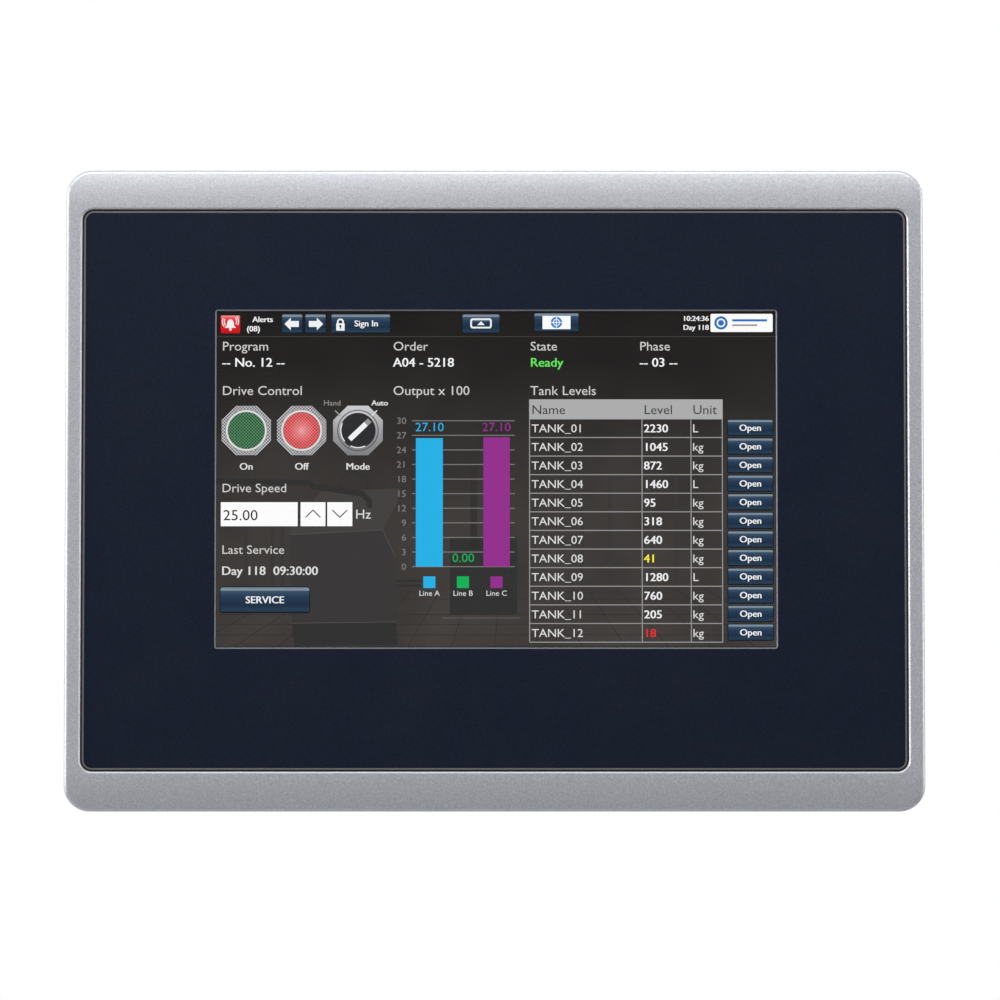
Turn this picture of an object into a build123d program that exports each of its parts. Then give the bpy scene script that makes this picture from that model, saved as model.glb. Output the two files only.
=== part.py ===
from build123d import *

import math
import os

# Panel-mount industrial touch terminal: cast bezel, resistive touch screen, display, main board, cast rear
# housing with three module bays, and four screw clamps that pull the bezel against a control-cabinet panel.
#
# Frame, in millimetres: +X to the right seen from the front, +Z up, +Y to the rear. The origin is the centre
# of the gasket's rear face, which is the plane of the cabinet panel's front surface.

os.makedirs("parts", exist_ok=True)

# ---------------------------------------------------------------- driving dimensions
# Depths (Y) of the front stack, front to rear.
BEZEL_FRONT = -7.5
FILM_FRONT = -6.95
ADHESIVE_FRONT = -6.7
RECESS_FLOOR = -6.6
MEMBRANE_REAR = -6.4
TOUCH_SEAT = -4.4
LCD_SEAT = -3.6
BEZEL_REAR = -1.2
PANEL_PLANE = 0.0

# Bezel outline and the overlay that lies in it.
BEZEL_W, BEZEL_H, BEZEL_CORNER = 234.0, 175.0, 7.0
BEZEL_EDGE_ROUND = 1.2
CROWN_DROP = 1.5
RECESS_W, RECESS_H, RECESS_CORNER = 225.2, 153.4, 3.2
RIM_CHAMFER = 0.4
FILM_W, FILM_H, FILM_CORNER = 223.2, 151.4, 2.2
BEAD_WIDTH = 0.5

# Display, 7-inch class; it sits a little above and to the right of the middle of the bezel.
DISPLAY_X, DISPLAY_Z = 0.45, 2.9
ACTIVE_W, ACTIVE_H = 152.4, 91.44
WINDOW_W, WINDOW_H, WINDOW_CORNER = 152.6, 91.8, 0.4
WINDOW_BEAD = 0.35
TOUCH_W, TOUCH_H = 171.0, 111.0
LCD_W, LCD_H = 165.0, 104.0
LCD_REAR = 1.6
POCKET_GAP = 0.5
RIM_W, RIM_H = 190.0, 122.0

# Rear housing.
HOUSING_W, HOUSING_H, HOUSING_CORNER = 216.0, 157.0, 6.0
HOUSING_REAR = 57.0
WALL = 3.0
FIN_HEIGHT, FIN_WIDTH, FIN_PITCH, FIN_COUNT = 4.0, 2.2, 10.0, 17
FLEX_BEND_R = 2.5
FIN_BOTTOM, FIN_TOP = -66.0, -34.0
SCREW_X, SCREW_Z = 100.0, 70.0
SCREW_R, SCREW_HEAD_R, SCREW_HEAD_H = 1.5, 2.75, 2.0
BOSS_R = 4.2

# Module bays and their blank covers.
BAY_X = (-72.0, -24.0, 24.0)
BAY_Z = 20.0
COVER_W, COVER_H, COVER_T, COVER_GAP = 45.0, 91.0, 1.6, 0.25
BAY_OPEN_W, BAY_OPEN_H = 40.0, 74.0
COVER_SCREW_Z = 41.5

# Main board.
BOARD_W, BOARD_H, BOARD_T = 186.0, 134.0, 1.6
BOARD_FRONT = 12.0
BOARD_REAR = BOARD_FRONT + BOARD_T
STANDOFF_X, STANDOFF_Z = 80.0, 44.0
BRACKET_T = 1.2
BRACKET_W, BRACKET_H = 186.0, 105.0
BRACKET_FIX_X, BRACKET_FIX_Z = 89.0, 46.0

# Bottom row of ports. The mouths are flush with the outside of the bottom wall.
PORT_FACE = -HOUSING_H / 2 + 0.2
PORT_BASE = BOARD_REAR + 0.1
PORT_GAP = 0.3
POWER_X, RESET_X, USB_DEVICE_X, USB_HOST_X = -60.0, -43.0, -31.0, -13.0
ETHERNET_X = (7.0, 26.0)
SERIAL_X = (45.0, 62.0)
JACK_W, JACK_H, JACK_L = 16.0, 13.6, 21.0
SMALL_JACK_W = 13.6
CAVITY_L = 14.5

# Memory-card slot in the right-hand wall.
CARD_Z, CARD_W, CARD_T, CARD_L = -26.0, 28.0, 3.0, 28.0

# Power connector.
POLE_PITCH, POLES = 5.08, 3

# Battery bay with a hinged door.
BATTERY_X, BATTERY_Z = 77.0, 46.0
BATTERY_BAY, BATTERY_WELL_WALL, BATTERY_FLOOR = 30.0, 1.5, 44.0
DOOR_SIZE, DOOR_T, DOOR_GAP = 34.0, 1.5, 0.4
HINGE_Y, HINGE_Z = HOUSING_REAR + 1.8, BATTERY_Z + DOOR_SIZE / 2 + 2.0
HINGE_PIN_R, KNUCKLE_R = 0.8, 1.6
KNUCKLE_HALF, LUG_T = 7.0, 2.5
CELL_R, CELL_T = 10.0, 3.2

# Panel clamps.
CLAMP_X = 84.0
CLAMP_SCREW_OFFSET = 4.7
CLAMP_FRONT, CLAMP_REAR = 12.0, 27.6
CLAMP_HALF_W, CLAMP_CLEARANCE, CLAMP_HEIGHT = 9.0, 0.2, 8.4
TAB_X, TAB_W, TAB_REAR, TAB_T = 5.0, 4.6, 18.5, 3.4
SLOT_W, SLOT_FRONT, SLOT_REAR = 5.2, 12.0, 18.6
CLAMP_SCREW_R, CLAMP_BORE_R = 2.0, 2.06
PAD_FRONT, PAD_REAR, PAD_R, PAD_FOOT_R = 6.5, 11.2, 2.9, 3.4
CLAMP_HEAD_FRONT, CLAMP_HEAD_REAR, CLAMP_HEAD_R = 33.2, 36.6, 3.6

HALF_H = HOUSING_H / 2
INNER_W, INNER_H = HOUSING_W - 2 * WALL, HOUSING_H - 2 * WALL
INNER_REAR = HOUSING_REAR - WALL


# ---------------------------------------------------------------- helpers
def across(depth):
    """Plane across the terminal at a depth: local X is +X, local Y is +Z, and it faces the front."""
    return Plane.XZ.offset(-depth)


def slab(width, height, front, rear, corner=0.0, centre=(0.0, 0.0), mode=Mode.ADD):
    """Upright slab with rounded corners between two depths, added to the part being built."""
    with BuildSketch(across(rear)) as outline:
        with Locations(centre):
            if corner > 0:
                RectangleRounded(width, height, corner)
            else:
                Rectangle(width, height)
    extrude(outline.sketch, amount=rear - front, mode=mode)


def ring(outer, hole, front, rear, outer_centre=(0.0, 0.0), hole_centre=(0.0, 0.0)):
    """Flat frame between two depths; outer and hole are (width, height, corner radius)."""
    slab(outer[0], outer[1], front, rear, outer[2], centre=outer_centre)
    slab(hole[0], hole[1], front, rear, hole[2], centre=hole_centre, mode=Mode.SUBTRACT)


def round_along_y(radius, front, rear, centres, mode=Mode.ADD):
    """Cylinders along Y between two depths, at (x, z) centres."""
    with BuildSketch(across(rear)) as outline:
        with Locations(*centres):
            Circle(radius)
    extrude(outline.sketch, amount=rear - front, mode=mode)


def block(x_range, y_range, z_range, mode=Mode.ADD):
    """Box between limits on each axis."""
    size = [high - low for low, high in (x_range, y_range, z_range)]
    middle = [(high + low) / 2 for low, high in (x_range, y_range, z_range)]
    with Locations(tuple(middle)):
        Box(*size, mode=mode)


def around(centre, width):
    """Limits of a span of a given width about a centre."""
    return (centre - width / 2, centre + width / 2)


def ribbon(x, width, thickness, route):
    """Flat flexible cable centred on x, following a route of (y, z) points with rounded bends."""
    with BuildSketch(Plane.YZ.offset(x - width / 2)) as section:
        with BuildLine():
            FilletPolyline(*route, radius=FLEX_BEND_R)
        trace(line_width=thickness)
    extrude(section.sketch, amount=width)


def save(part, name):
    """Labels a finished piece and writes its STEP file."""
    part.label = name
    export_step(part, f"parts/{name}.step")


CORNERS = [(x, z) for x in (-1, 1) for z in (-1, 1)]
HOUSING_SCREW_CENTRES = [(sx * SCREW_X, z) for sx in (-1, 1) for z in (-SCREW_Z, 0.0, SCREW_Z)]
BRACKET_CENTRES = [(sx * BRACKET_FIX_X, DISPLAY_Z + sz * BRACKET_FIX_Z) for sx, sz in CORNERS]
STANDOFF_CENTRES = [(sx * STANDOFF_X, sz * STANDOFF_Z) for sx, sz in CORNERS]

# ---------------------------------------------------------------- front bezel
REAR_HOLLOW_FLOOR = -4.3
REAR_HOLLOW_W, REAR_HOLLOW_H = 208.0, 149.0
BRACKET_BOSS_R, BRACKET_SCREW_R = 3.2, 1.25
BRACKET_SCREW_TIP = -3.6
HOUSING_SCREW_TIP = -5.0
CROWN_OVERRUN = 1.0
TAIL_W, TAIL_T, TAIL_SLOT_H = 14.0, 0.3, 1.4
TAIL_X, TAIL_Z = 60.0, DISPLAY_Z - TOUCH_H / 2 + 1.3
DISPLAY_CENTRE = (DISPLAY_X, DISPLAY_Z)

with BuildPart() as front_bezel:
    slab(BEZEL_W, BEZEL_H, BEZEL_FRONT, BEZEL_REAR, BEZEL_CORNER)
    # Top and bottom borders fall away from the recess in one shallow arc.
    with BuildSketch(Plane.YZ.offset(-BEZEL_W / 2 - CROWN_OVERRUN)):
        with BuildLine():
            border = (BEZEL_H - RECESS_H) / 2
            crown_r = (border**2 + CROWN_DROP**2) / (2 * CROWN_DROP)
            crown_arc = math.degrees(math.asin((border + CROWN_OVERRUN) / crown_r))
            upper = CenterArc((BEZEL_FRONT + crown_r, RECESS_H / 2), crown_r, 180, -crown_arc)
            lower = CenterArc((BEZEL_FRONT + crown_r, -RECESS_H / 2), crown_r, 180, crown_arc)
            Line(upper @ 0, lower @ 0)
            Polyline(upper @ 1, (CROWN_OVERRUN, (upper @ 1).Y), (CROWN_OVERRUN, (lower @ 1).Y), lower @ 1)
        make_face()
    extrude(amount=BEZEL_W + 2 * CROWN_OVERRUN, mode=Mode.INTERSECT)
    outer_front = front_bezel.edges().filter_by(
        lambda e: e.center().Y < BEZEL_FRONT + 2 * CROWN_DROP
        and (abs(e.center().X) > RECESS_W / 2 + 2 or abs(e.center().Z) > BEZEL_H / 2 - 4))
    fillet(outer_front, BEZEL_EDGE_ROUND)
    # Recess for the overlay, seat for the touch glass, and the window through to the display.
    slab(RECESS_W, RECESS_H, BEZEL_FRONT - 1, RECESS_FLOOR, RECESS_CORNER, mode=Mode.SUBTRACT)
    rim = front_bezel.edges().filter_by(
        lambda e: abs(e.center().Y - BEZEL_FRONT) < 0.05
        and abs(e.center().X) < RECESS_W / 2 + 0.1 and abs(e.center().Z) < RECESS_H / 2 + 0.1)
    chamfer(rim, RIM_CHAMFER)
    for width, height, front, rear in (
            (TOUCH_W + POCKET_GAP, TOUCH_H + POCKET_GAP, RECESS_FLOOR, TOUCH_SEAT),
            (ACTIVE_W + 6.0, ACTIVE_H + 6.0, TOUCH_SEAT, LCD_SEAT),
            (LCD_W + POCKET_GAP, LCD_H + POCKET_GAP, LCD_SEAT, BEZEL_REAR)):
        slab(width, height, front, rear, 1.0, centre=DISPLAY_CENTRE, mode=Mode.SUBTRACT)
    # Hollow behind the borders, leaving a thick rim round the window and a boss at each housing screw.
    with BuildSketch(across(BEZEL_REAR)) as hollow:
        RectangleRounded(REAR_HOLLOW_W, REAR_HOLLOW_H, 4.0)
        Rectangle(RIM_W, RIM_H, mode=Mode.SUBTRACT)
        with Locations(*HOUSING_SCREW_CENTRES):
            Rectangle(2 * BOSS_R, 2 * BOSS_R, mode=Mode.SUBTRACT)
    extrude(hollow.sketch, amount=BEZEL_REAR - REAR_HOLLOW_FLOOR, mode=Mode.SUBTRACT)
    # Bosses that carry the display bracket, and the blind screw holes.
    round_along_y(BRACKET_BOSS_R, BEZEL_REAR - 0.5, LCD_REAR, BRACKET_CENTRES)
    round_along_y(BRACKET_SCREW_R, BRACKET_SCREW_TIP, LCD_REAR, BRACKET_CENTRES, mode=Mode.SUBTRACT)
    round_along_y(SCREW_R, HOUSING_SCREW_TIP, BEZEL_REAR, HOUSING_SCREW_CENTRES, mode=Mode.SUBTRACT)
    # Slot that lets the touch sensor's tail through to the rear.
    slab(TAIL_W + 1.0, TAIL_SLOT_H, TOUCH_SEAT, BEZEL_REAR, centre=(TAIL_X, TAIL_Z), mode=Mode.SUBTRACT)
save(front_bezel.part, "front_bezel")

# ---------------------------------------------------------------- overlay and its edge beads
WINDOW = (WINDOW_W, WINDOW_H, WINDOW_CORNER)
WINDOW_BEAD_OUTER = (WINDOW_W + 2 * WINDOW_BEAD, WINDOW_H + 2 * WINDOW_BEAD, WINDOW_CORNER + WINDOW_BEAD)
BEAD_OUTER = (FILM_W + 2 * BEAD_WIDTH, FILM_H + 2 * BEAD_WIDTH, FILM_CORNER + BEAD_WIDTH)

with BuildPart() as overlay_adhesive:
    ring((RECESS_W - 0.1, RECESS_H - 0.1, RECESS_CORNER - 0.05), WINDOW, ADHESIVE_FRONT, RECESS_FLOOR,
         hole_centre=DISPLAY_CENTRE)
save(overlay_adhesive.part, "overlay_adhesive")

with BuildPart() as overlay_film:
    ring((FILM_W, FILM_H, FILM_CORNER), WINDOW_BEAD_OUTER, FILM_FRONT, ADHESIVE_FRONT,
         hole_centre=DISPLAY_CENTRE)
save(overlay_film.part, "overlay_film")

with BuildPart() as overlay_edge_bead:
    ring(BEAD_OUTER, (FILM_W, FILM_H, FILM_CORNER), FILM_FRONT, ADHESIVE_FRONT)
    fillet(overlay_edge_bead.faces().filter_by(Plane.XZ).sort_by(Axis.Y)[0].outer_wire().edges(), 0.15)
save(overlay_edge_bead.part, "overlay_edge_bead")

with BuildPart() as window_edge_bead:
    ring(WINDOW_BEAD_OUTER, WINDOW, FILM_FRONT - 0.05, ADHESIVE_FRONT, DISPLAY_CENTRE, DISPLAY_CENTRE)
    chamfer(window_edge_bead.faces().filter_by(Plane.XZ).sort_by(Axis.Y)[0].inner_wires()[0].edges(), 0.2)
save(window_edge_bead.part, "window_edge_bead")

# ---------------------------------------------------------------- touch sensor
with BuildPart() as touch_membrane:
    slab(TOUCH_W, TOUCH_H, RECESS_FLOOR, MEMBRANE_REAR, 0.8, centre=DISPLAY_CENTRE)
save(touch_membrane.part, "touch_membrane")

with BuildPart() as touch_glass:
    slab(TOUCH_W, TOUCH_H, MEMBRANE_REAR, TOUCH_SEAT, 0.8, centre=DISPLAY_CENTRE)
save(touch_glass.part, "touch_glass")

TAIL_END = (BOARD_FRONT - TAIL_T / 2 - 0.1, -44.0)

with BuildPart() as touch_tail:
    ribbon(TAIL_X, TAIL_W, TAIL_T, [(TOUCH_SEAT + 0.05, TAIL_Z), (TAIL_END[0], TAIL_Z), TAIL_END])
save(touch_tail.part, "touch_tail")

# ---------------------------------------------------------------- display module
LCD_SHELL = 0.4
CELL_FRONT, CELL_REAR = LCD_SEAT + LCD_SHELL, -2.0
GUIDE_REAR = 1.0
LED_BAR_H = 4.0

with BuildPart() as lcd_frame:
    slab(LCD_W, LCD_H, LCD_SEAT, GUIDE_REAR, 1.0, centre=DISPLAY_CENTRE)
    slab(LCD_W - 2 * LCD_SHELL, LCD_H - 2 * LCD_SHELL, CELL_FRONT, GUIDE_REAR, 0.6, centre=DISPLAY_CENTRE,
         mode=Mode.SUBTRACT)
    slab(ACTIVE_W + 2.4, ACTIVE_H + 2.4, LCD_SEAT, CELL_FRONT, 0.5, centre=DISPLAY_CENTRE, mode=Mode.SUBTRACT)
save(lcd_frame.part, "lcd_frame")

with BuildPart() as lcd_cell:
    slab(LCD_W - 1.2, LCD_H - 1.2, CELL_FRONT, CELL_REAR, centre=DISPLAY_CENTRE)
save(lcd_cell.part, "lcd_cell")

with BuildPart() as light_guide:
    slab(LCD_W - 1.2, LCD_H - 1.2 - LED_BAR_H, CELL_REAR, GUIDE_REAR,
         centre=(DISPLAY_X, DISPLAY_Z + LED_BAR_H / 2))
save(light_guide.part, "light_guide")

with BuildPart() as led_bar:
    slab(LCD_W - 1.4, LED_BAR_H - 0.2, CELL_REAR, GUIDE_REAR,
         centre=(DISPLAY_X, DISPLAY_Z - (LCD_H - 1.2 - LED_BAR_H) / 2))
save(led_bar.part, "led_bar")

with BuildPart() as lcd_bracket:
    slab(BRACKET_W, BRACKET_H, LCD_REAR, LCD_REAR + BRACKET_T, 3.0, centre=DISPLAY_CENTRE)
    with BuildSketch(across(LCD_REAR + BRACKET_T)) as openings:
        with Locations(DISPLAY_CENTRE):
            with GridLocations(60.0, 0.0, 2, 1):
                RectangleRounded(44.0, 62.0, 5.0)
        with Locations(*BRACKET_CENTRES):
            Circle(1.6)
        with Locations(*STANDOFF_CENTRES):
            Circle(1.6)
    extrude(openings.sketch, amount=BRACKET_T, mode=Mode.SUBTRACT)
save(lcd_bracket.part, "lcd_bracket")

FLEX_W, FLEX_T, FLEX_X = 36.0, 0.3, -20.0
FLEX_DROP = DISPLAY_Z - BRACKET_H / 2 - 1.6
FLEX_START = (GUIDE_REAR + FLEX_T / 2 + 0.1, -30.0)
FLEX_END = (BOARD_FRONT - 0.1 - FLEX_T / 2, -40.0)

with BuildPart() as lcd_flex:
    ribbon(FLEX_X, FLEX_W, FLEX_T,
           [FLEX_START, (FLEX_START[0], FLEX_DROP), (FLEX_END[0], FLEX_DROP), FLEX_END])
save(lcd_flex.part, "lcd_flex")

# ---------------------------------------------------------------- panel gasket
GASKET_OUTER = (BEZEL_W - 2.0, BEZEL_H - 2.0, BEZEL_CORNER - 1.0)
GASKET_INNER = (HOUSING_W + 2.0, HOUSING_H + 2.0, HOUSING_CORNER + 1.0)

with BuildPart() as panel_gasket:
    ring(GASKET_OUTER, GASKET_INNER, BEZEL_REAR, PANEL_PLANE)
save(panel_gasket.part, "panel_gasket")

# ---------------------------------------------------------------- main board and what is on it
STANDOFF_R, STUD_R = 2.8, 1.5
BOARD_SCREW_TIP = 7.6
CHIP_T = 1.6
CHIPS = [(-50.0, -22.0, 14.0, 20.0), (-48.0, 44.0, 20.0, 14.0), (48.0, -22.0, 18.0, 18.0),
         (52.0, 12.0, 12.0, 18.0), (0.0, -34.0, 12.0, 12.0), (26.0, -44.0, 9.0, 9.0),
         (50.0, 46.0, 16.0, 10.0)]
CAPACITORS = [(-62.0, -44.0, 4.0, 10.0), (-52.0, -46.0, 4.0, 10.0), (-84.0, 20.0, 5.0, 12.0),
              (-84.0, 34.0, 5.0, 12.0), (86.0, 10.0, 4.0, 9.0)]
SINK_W, SINK_BASE, SINK_FIN_H, SINK_FINS = 38.0, 3.0, 9.0, 8
SINK_Z = 8.0
PROCESSOR_W = 19.0
SOCKET_W, SOCKET_H, SOCKET_T = 7.0, 52.0, 9.0

with BuildPart() as board_standoffs:
    with BuildSketch(across(BOARD_FRONT)) as hexes:
        with Locations(*STANDOFF_CENTRES):
            RegularPolygon(STANDOFF_R, 6)
    extrude(hexes.sketch, amount=BOARD_FRONT - LCD_REAR - BRACKET_T)
    round_along_y(STUD_R, LCD_REAR, LCD_REAR + BRACKET_T, STANDOFF_CENTRES)
    round_along_y(STUD_R, BOARD_SCREW_TIP - 0.4, BOARD_FRONT, STANDOFF_CENTRES, mode=Mode.SUBTRACT)
save(board_standoffs.part, "board_standoffs")

with BuildPart() as internal_screws:
    round_along_y(STUD_R, BOARD_SCREW_TIP, BOARD_REAR, STANDOFF_CENTRES)
    round_along_y(2.8, BOARD_REAR, BOARD_REAR + 1.7, STANDOFF_CENTRES)
    round_along_y(BRACKET_SCREW_R, BRACKET_SCREW_TIP + 0.3, LCD_REAR + BRACKET_T, BRACKET_CENTRES)
    round_along_y(2.3, LCD_REAR + BRACKET_T, LCD_REAR + BRACKET_T + 1.6, BRACKET_CENTRES)
save(internal_screws.part, "internal_screws")

with BuildPart() as main_board:
    slab(BOARD_W, BOARD_H, BOARD_FRONT, BOARD_REAR, 2.0)
    round_along_y(STUD_R + 0.1, BOARD_FRONT, BOARD_REAR, STANDOFF_CENTRES, mode=Mode.SUBTRACT)
save(main_board.part, "main_board")

with BuildPart() as processor:
    slab(PROCESSOR_W, PROCESSOR_W, BOARD_REAR, BOARD_REAR + CHIP_T, centre=(0, SINK_Z))
save(processor.part, "processor")

with BuildPart() as heat_sink:
    sink_front = BOARD_REAR + CHIP_T
    slab(SINK_W, SINK_W, sink_front, sink_front + SINK_BASE, 1.0, centre=(0, SINK_Z))
    with BuildSketch(across(sink_front + SINK_BASE + SINK_FIN_H)) as sink_fins:
        with Locations((0, SINK_Z)):
            with GridLocations(SINK_W / SINK_FINS, 0, SINK_FINS, 1):
                Rectangle(1.4, SINK_W - 1.0)
    extrude(sink_fins.sketch, amount=SINK_FIN_H)
    round_along_y(1.2, BOARD_REAR, sink_front, [(-16.0, SINK_Z + 16.0), (16.0, SINK_Z - 16.0)])
save(heat_sink.part, "heat_sink")

with BuildPart() as board_chips:
    for x, z, width, height in CHIPS:
        slab(width, height, BOARD_REAR, BOARD_REAR + CHIP_T, centre=(x, z))
save(board_chips.part, "board_chips")

with BuildPart() as board_capacitors:
    for x, z, radius, height in CAPACITORS:
        round_along_y(radius, BOARD_REAR, BOARD_REAR + height, [(x, z)])
save(board_capacitors.part, "board_capacitors")

with BuildPart() as module_sockets:
    for x in BAY_X:
        slab(SOCKET_W, SOCKET_H, BOARD_REAR, BOARD_REAR + SOCKET_T, centre=(x, BAY_Z))
        slab(2.4, SOCKET_H - 4.0, BOARD_REAR + 2.0, BOARD_REAR + SOCKET_T, centre=(x, BAY_Z),
             mode=Mode.SUBTRACT)
save(module_sockets.part, "module_sockets")

# ---------------------------------------------------------------- modular jacks (data and serial ports)
SHIELD_T = 0.3
JACKS = {
    "ethernet_jack_1": (ETHERNET_X[0], JACK_W, 8),
    "ethernet_jack_2": (ETHERNET_X[1], JACK_W, 8),
    "serial_jack_1": (SERIAL_X[0], JACK_W, 8),
    "serial_jack_2": (SERIAL_X[1], SMALL_JACK_W, 6),
}
CAVITY_SIDE = 2.1
CAVITY_Y = (PORT_BASE + 3.4, PORT_BASE + 11.6)
LATCH_W, LATCH_T = 6.2, 1.8
LED_WINDOW = (3.0, 1.7)
CONTACT_PITCH, CONTACT_R = 1.02, 0.22
PORT_MOUTH = (PORT_FACE, PORT_FACE + CAVITY_L)


def led_centres(x):
    """Centres (x, y) of the two status windows above a data jack's mouth."""
    return [(x - 5.6, PORT_BASE + 12.4), (x + 5.6, PORT_BASE + 12.4)]


for name, (x, width, _) in JACKS.items():
    with BuildPart() as jack:
        block(around(x, width - 2 * SHIELD_T), (PORT_BASE, PORT_BASE + JACK_H - SHIELD_T),
              (PORT_FACE, PORT_FACE + JACK_L - SHIELD_T))
        block(around(x, width - 2 * CAVITY_SIDE), CAVITY_Y, PORT_MOUTH, mode=Mode.SUBTRACT)
        block(around(x, LATCH_W), (CAVITY_Y[0] - LATCH_T, CAVITY_Y[0]), PORT_MOUTH, mode=Mode.SUBTRACT)
        if name.startswith("ethernet"):
            for led_x, led_y in led_centres(x):
                block(around(led_x, LED_WINDOW[0]), around(led_y, LED_WINDOW[1]),
                      (PORT_FACE, PORT_FACE + 1.0), mode=Mode.SUBTRACT)
    save(jack.part, name)

with BuildPart() as jack_led_windows:
    for x in ETHERNET_X:
        for led_x, led_y in led_centres(x):
            block(around(led_x, LED_WINDOW[0]), around(led_y, LED_WINDOW[1]), (PORT_FACE, PORT_FACE + 1.0))
save(jack_led_windows.part, "jack_led_windows")

with BuildPart() as jack_shields:
    for x, width, _ in JACKS.values():
        block(around(x, width), (PORT_BASE, PORT_BASE + JACK_H), (PORT_FACE, PORT_FACE + JACK_L))
        block(around(x, width - 2 * SHIELD_T), (PORT_BASE, PORT_BASE + JACK_H - SHIELD_T),
              (PORT_FACE, PORT_FACE + JACK_L - SHIELD_T), mode=Mode.SUBTRACT)
save(jack_shields.part, "jack_shields")

CONTACT_ROOT = Vector(0, CAVITY_Y[1] - 0.3, PORT_FACE + 2.0)
CONTACT_TIP = Vector(0, CAVITY_Y[1] - 2.6, PORT_FACE + 10.0)

with BuildPart() as jack_contacts:
    run = CONTACT_TIP - CONTACT_ROOT
    for x, _, count in JACKS.values():
        for i in range(count):
            start = CONTACT_ROOT + Vector(x + (i - (count - 1) / 2) * CONTACT_PITCH, 0, 0)
            with BuildSketch(Plane(origin=start, z_dir=run)) as wire:
                Circle(CONTACT_R)
            extrude(wire.sketch, amount=run.length)
save(jack_contacts.part, "jack_contacts")

# ---------------------------------------------------------------- USB ports
USB_HOST_W, USB_HOST_H, USB_HOST_L = 13.2, 15.6, 17.5
USB_A_W, USB_A_H, USB_STACK = 12.4, 5.2, 7.6
USB_DEVICE_W, USB_DEVICE_H, USB_DEVICE_L = 12.0, 10.8, 16.4
USB_B_W, USB_B_H = 8.6, 7.9
TONGUE_L, TONGUE_INSET = 9.0, 2.0
USB_A_Y = [PORT_BASE + USB_HOST_H / 2 + side * USB_STACK / 2 for side in (-1, 1)]
USB_B_Y = PORT_BASE + USB_DEVICE_H / 2
USB_BACK = PORT_FACE + TONGUE_INSET + TONGUE_L

with BuildPart() as usb_host_jack:
    block(around(USB_HOST_X, USB_HOST_W), (PORT_BASE, PORT_BASE + USB_HOST_H),
          (PORT_FACE, PORT_FACE + USB_HOST_L))
    for y in USB_A_Y:
        block(around(USB_HOST_X, USB_A_W), around(y, USB_A_H), (PORT_FACE, USB_BACK), mode=Mode.SUBTRACT)
save(usb_host_jack.part, "usb_host_jack")

with BuildPart() as usb_device_jack:
    block(around(USB_DEVICE_X, USB_DEVICE_W), (PORT_BASE, PORT_BASE + USB_DEVICE_H),
          (PORT_FACE, PORT_FACE + USB_DEVICE_L))
    block(around(USB_DEVICE_X, USB_B_W), around(USB_B_Y, USB_B_H), (PORT_FACE, USB_BACK), mode=Mode.SUBTRACT)
    mouth_corners = usb_device_jack.edges().filter_by(Axis.Z).group_by(
        lambda e: round(abs(e.center().X - USB_DEVICE_X) + abs(e.center().Y - USB_B_Y), 1))[0]
    chamfer(mouth_corners.sort_by(Axis.Y)[-2:], 1.6)
save(usb_device_jack.part, "usb_device_jack")

with BuildPart() as usb_tongues:
    for y in USB_A_Y:
        block(around(USB_HOST_X, 11.1), around(y + 1.2, 1.8), (PORT_FACE + TONGUE_INSET, USB_BACK))
    block(around(USB_DEVICE_X, 5.6), around(USB_B_Y, 3.2), (PORT_FACE + TONGUE_INSET, USB_BACK))
save(usb_tongues.part, "usb_tongues")

# ---------------------------------------------------------------- memory-card socket
CARD_MOUTH = HOUSING_W / 2 - 0.3
CARD_SLOT_W, CARD_SLOT_T = 24.6, 2.2

with BuildPart() as card_socket:
    block((CARD_MOUTH - CARD_L, CARD_MOUTH), (PORT_BASE, PORT_BASE + CARD_T), around(CARD_Z, CARD_W))
    block((CARD_MOUTH - CARD_L + 2.0, CARD_MOUTH), around(PORT_BASE + CARD_T / 2, CARD_SLOT_T),
          around(CARD_Z, CARD_SLOT_W), mode=Mode.SUBTRACT)
save(card_socket.part, "card_socket")

# ---------------------------------------------------------------- reset switch and its plunger
RESET_Y = PORT_BASE + 3.5
RESET_HOLE_R, PLUNGER_R, PLUNGER_HEAD_R = 2.1, 2.0, 2.8
SWITCH_FACE = -69.0
PLUNGER_TRAVEL = 0.8
PLUNGER_TIP = -HALF_H + 0.6

with BuildPart() as reset_switch:
    block(around(RESET_X, 7.0), (PORT_BASE, PORT_BASE + 7.0), (SWITCH_FACE, SWITCH_FACE + 6.0))
save(reset_switch.part, "reset_switch")

with BuildPart() as reset_button:
    with BuildSketch(Plane.XY.offset(PLUNGER_TIP)) as plunger:
        with Locations((RESET_X, RESET_Y)):
            Circle(PLUNGER_R)
    extrude(plunger.sketch, amount=SWITCH_FACE - PLUNGER_TRAVEL - 0.1 - PLUNGER_TIP)
    with BuildSketch(Plane.XY.offset(-HALF_H + WALL + 0.2)) as collar:
        with Locations((RESET_X, RESET_Y)):
            Circle(PLUNGER_HEAD_R)
    extrude(collar.sketch, amount=1.2)
    fillet(reset_button.edges().sort_by(Axis.Z)[0], 0.5)
save(reset_button.part, "reset_button")

# ---------------------------------------------------------------- power terminal block
TERMINAL_W, TERMINAL_H, TERMINAL_L = 17.4, 13.0, 14.0
POLE_X = [POWER_X + (i - (POLES - 1) / 2) * POLE_PITCH for i in range(POLES)]
WIRE_MOUTH_W, WIRE_MOUTH_H, WIRE_MOUTH_Y, WIRE_MOUTH_D = 3.2, 3.4, PORT_BASE + 3.4, 9.0
TERMINAL_SCREW_R, TERMINAL_SCREW_Y = 1.7, PORT_BASE + 9.4
TERMINAL_WELL_R, TERMINAL_WELL_D, TERMINAL_SCREW_SINK = 1.9, 4.2, 1.4
TERMINAL_SLOT_W = 0.6

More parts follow.
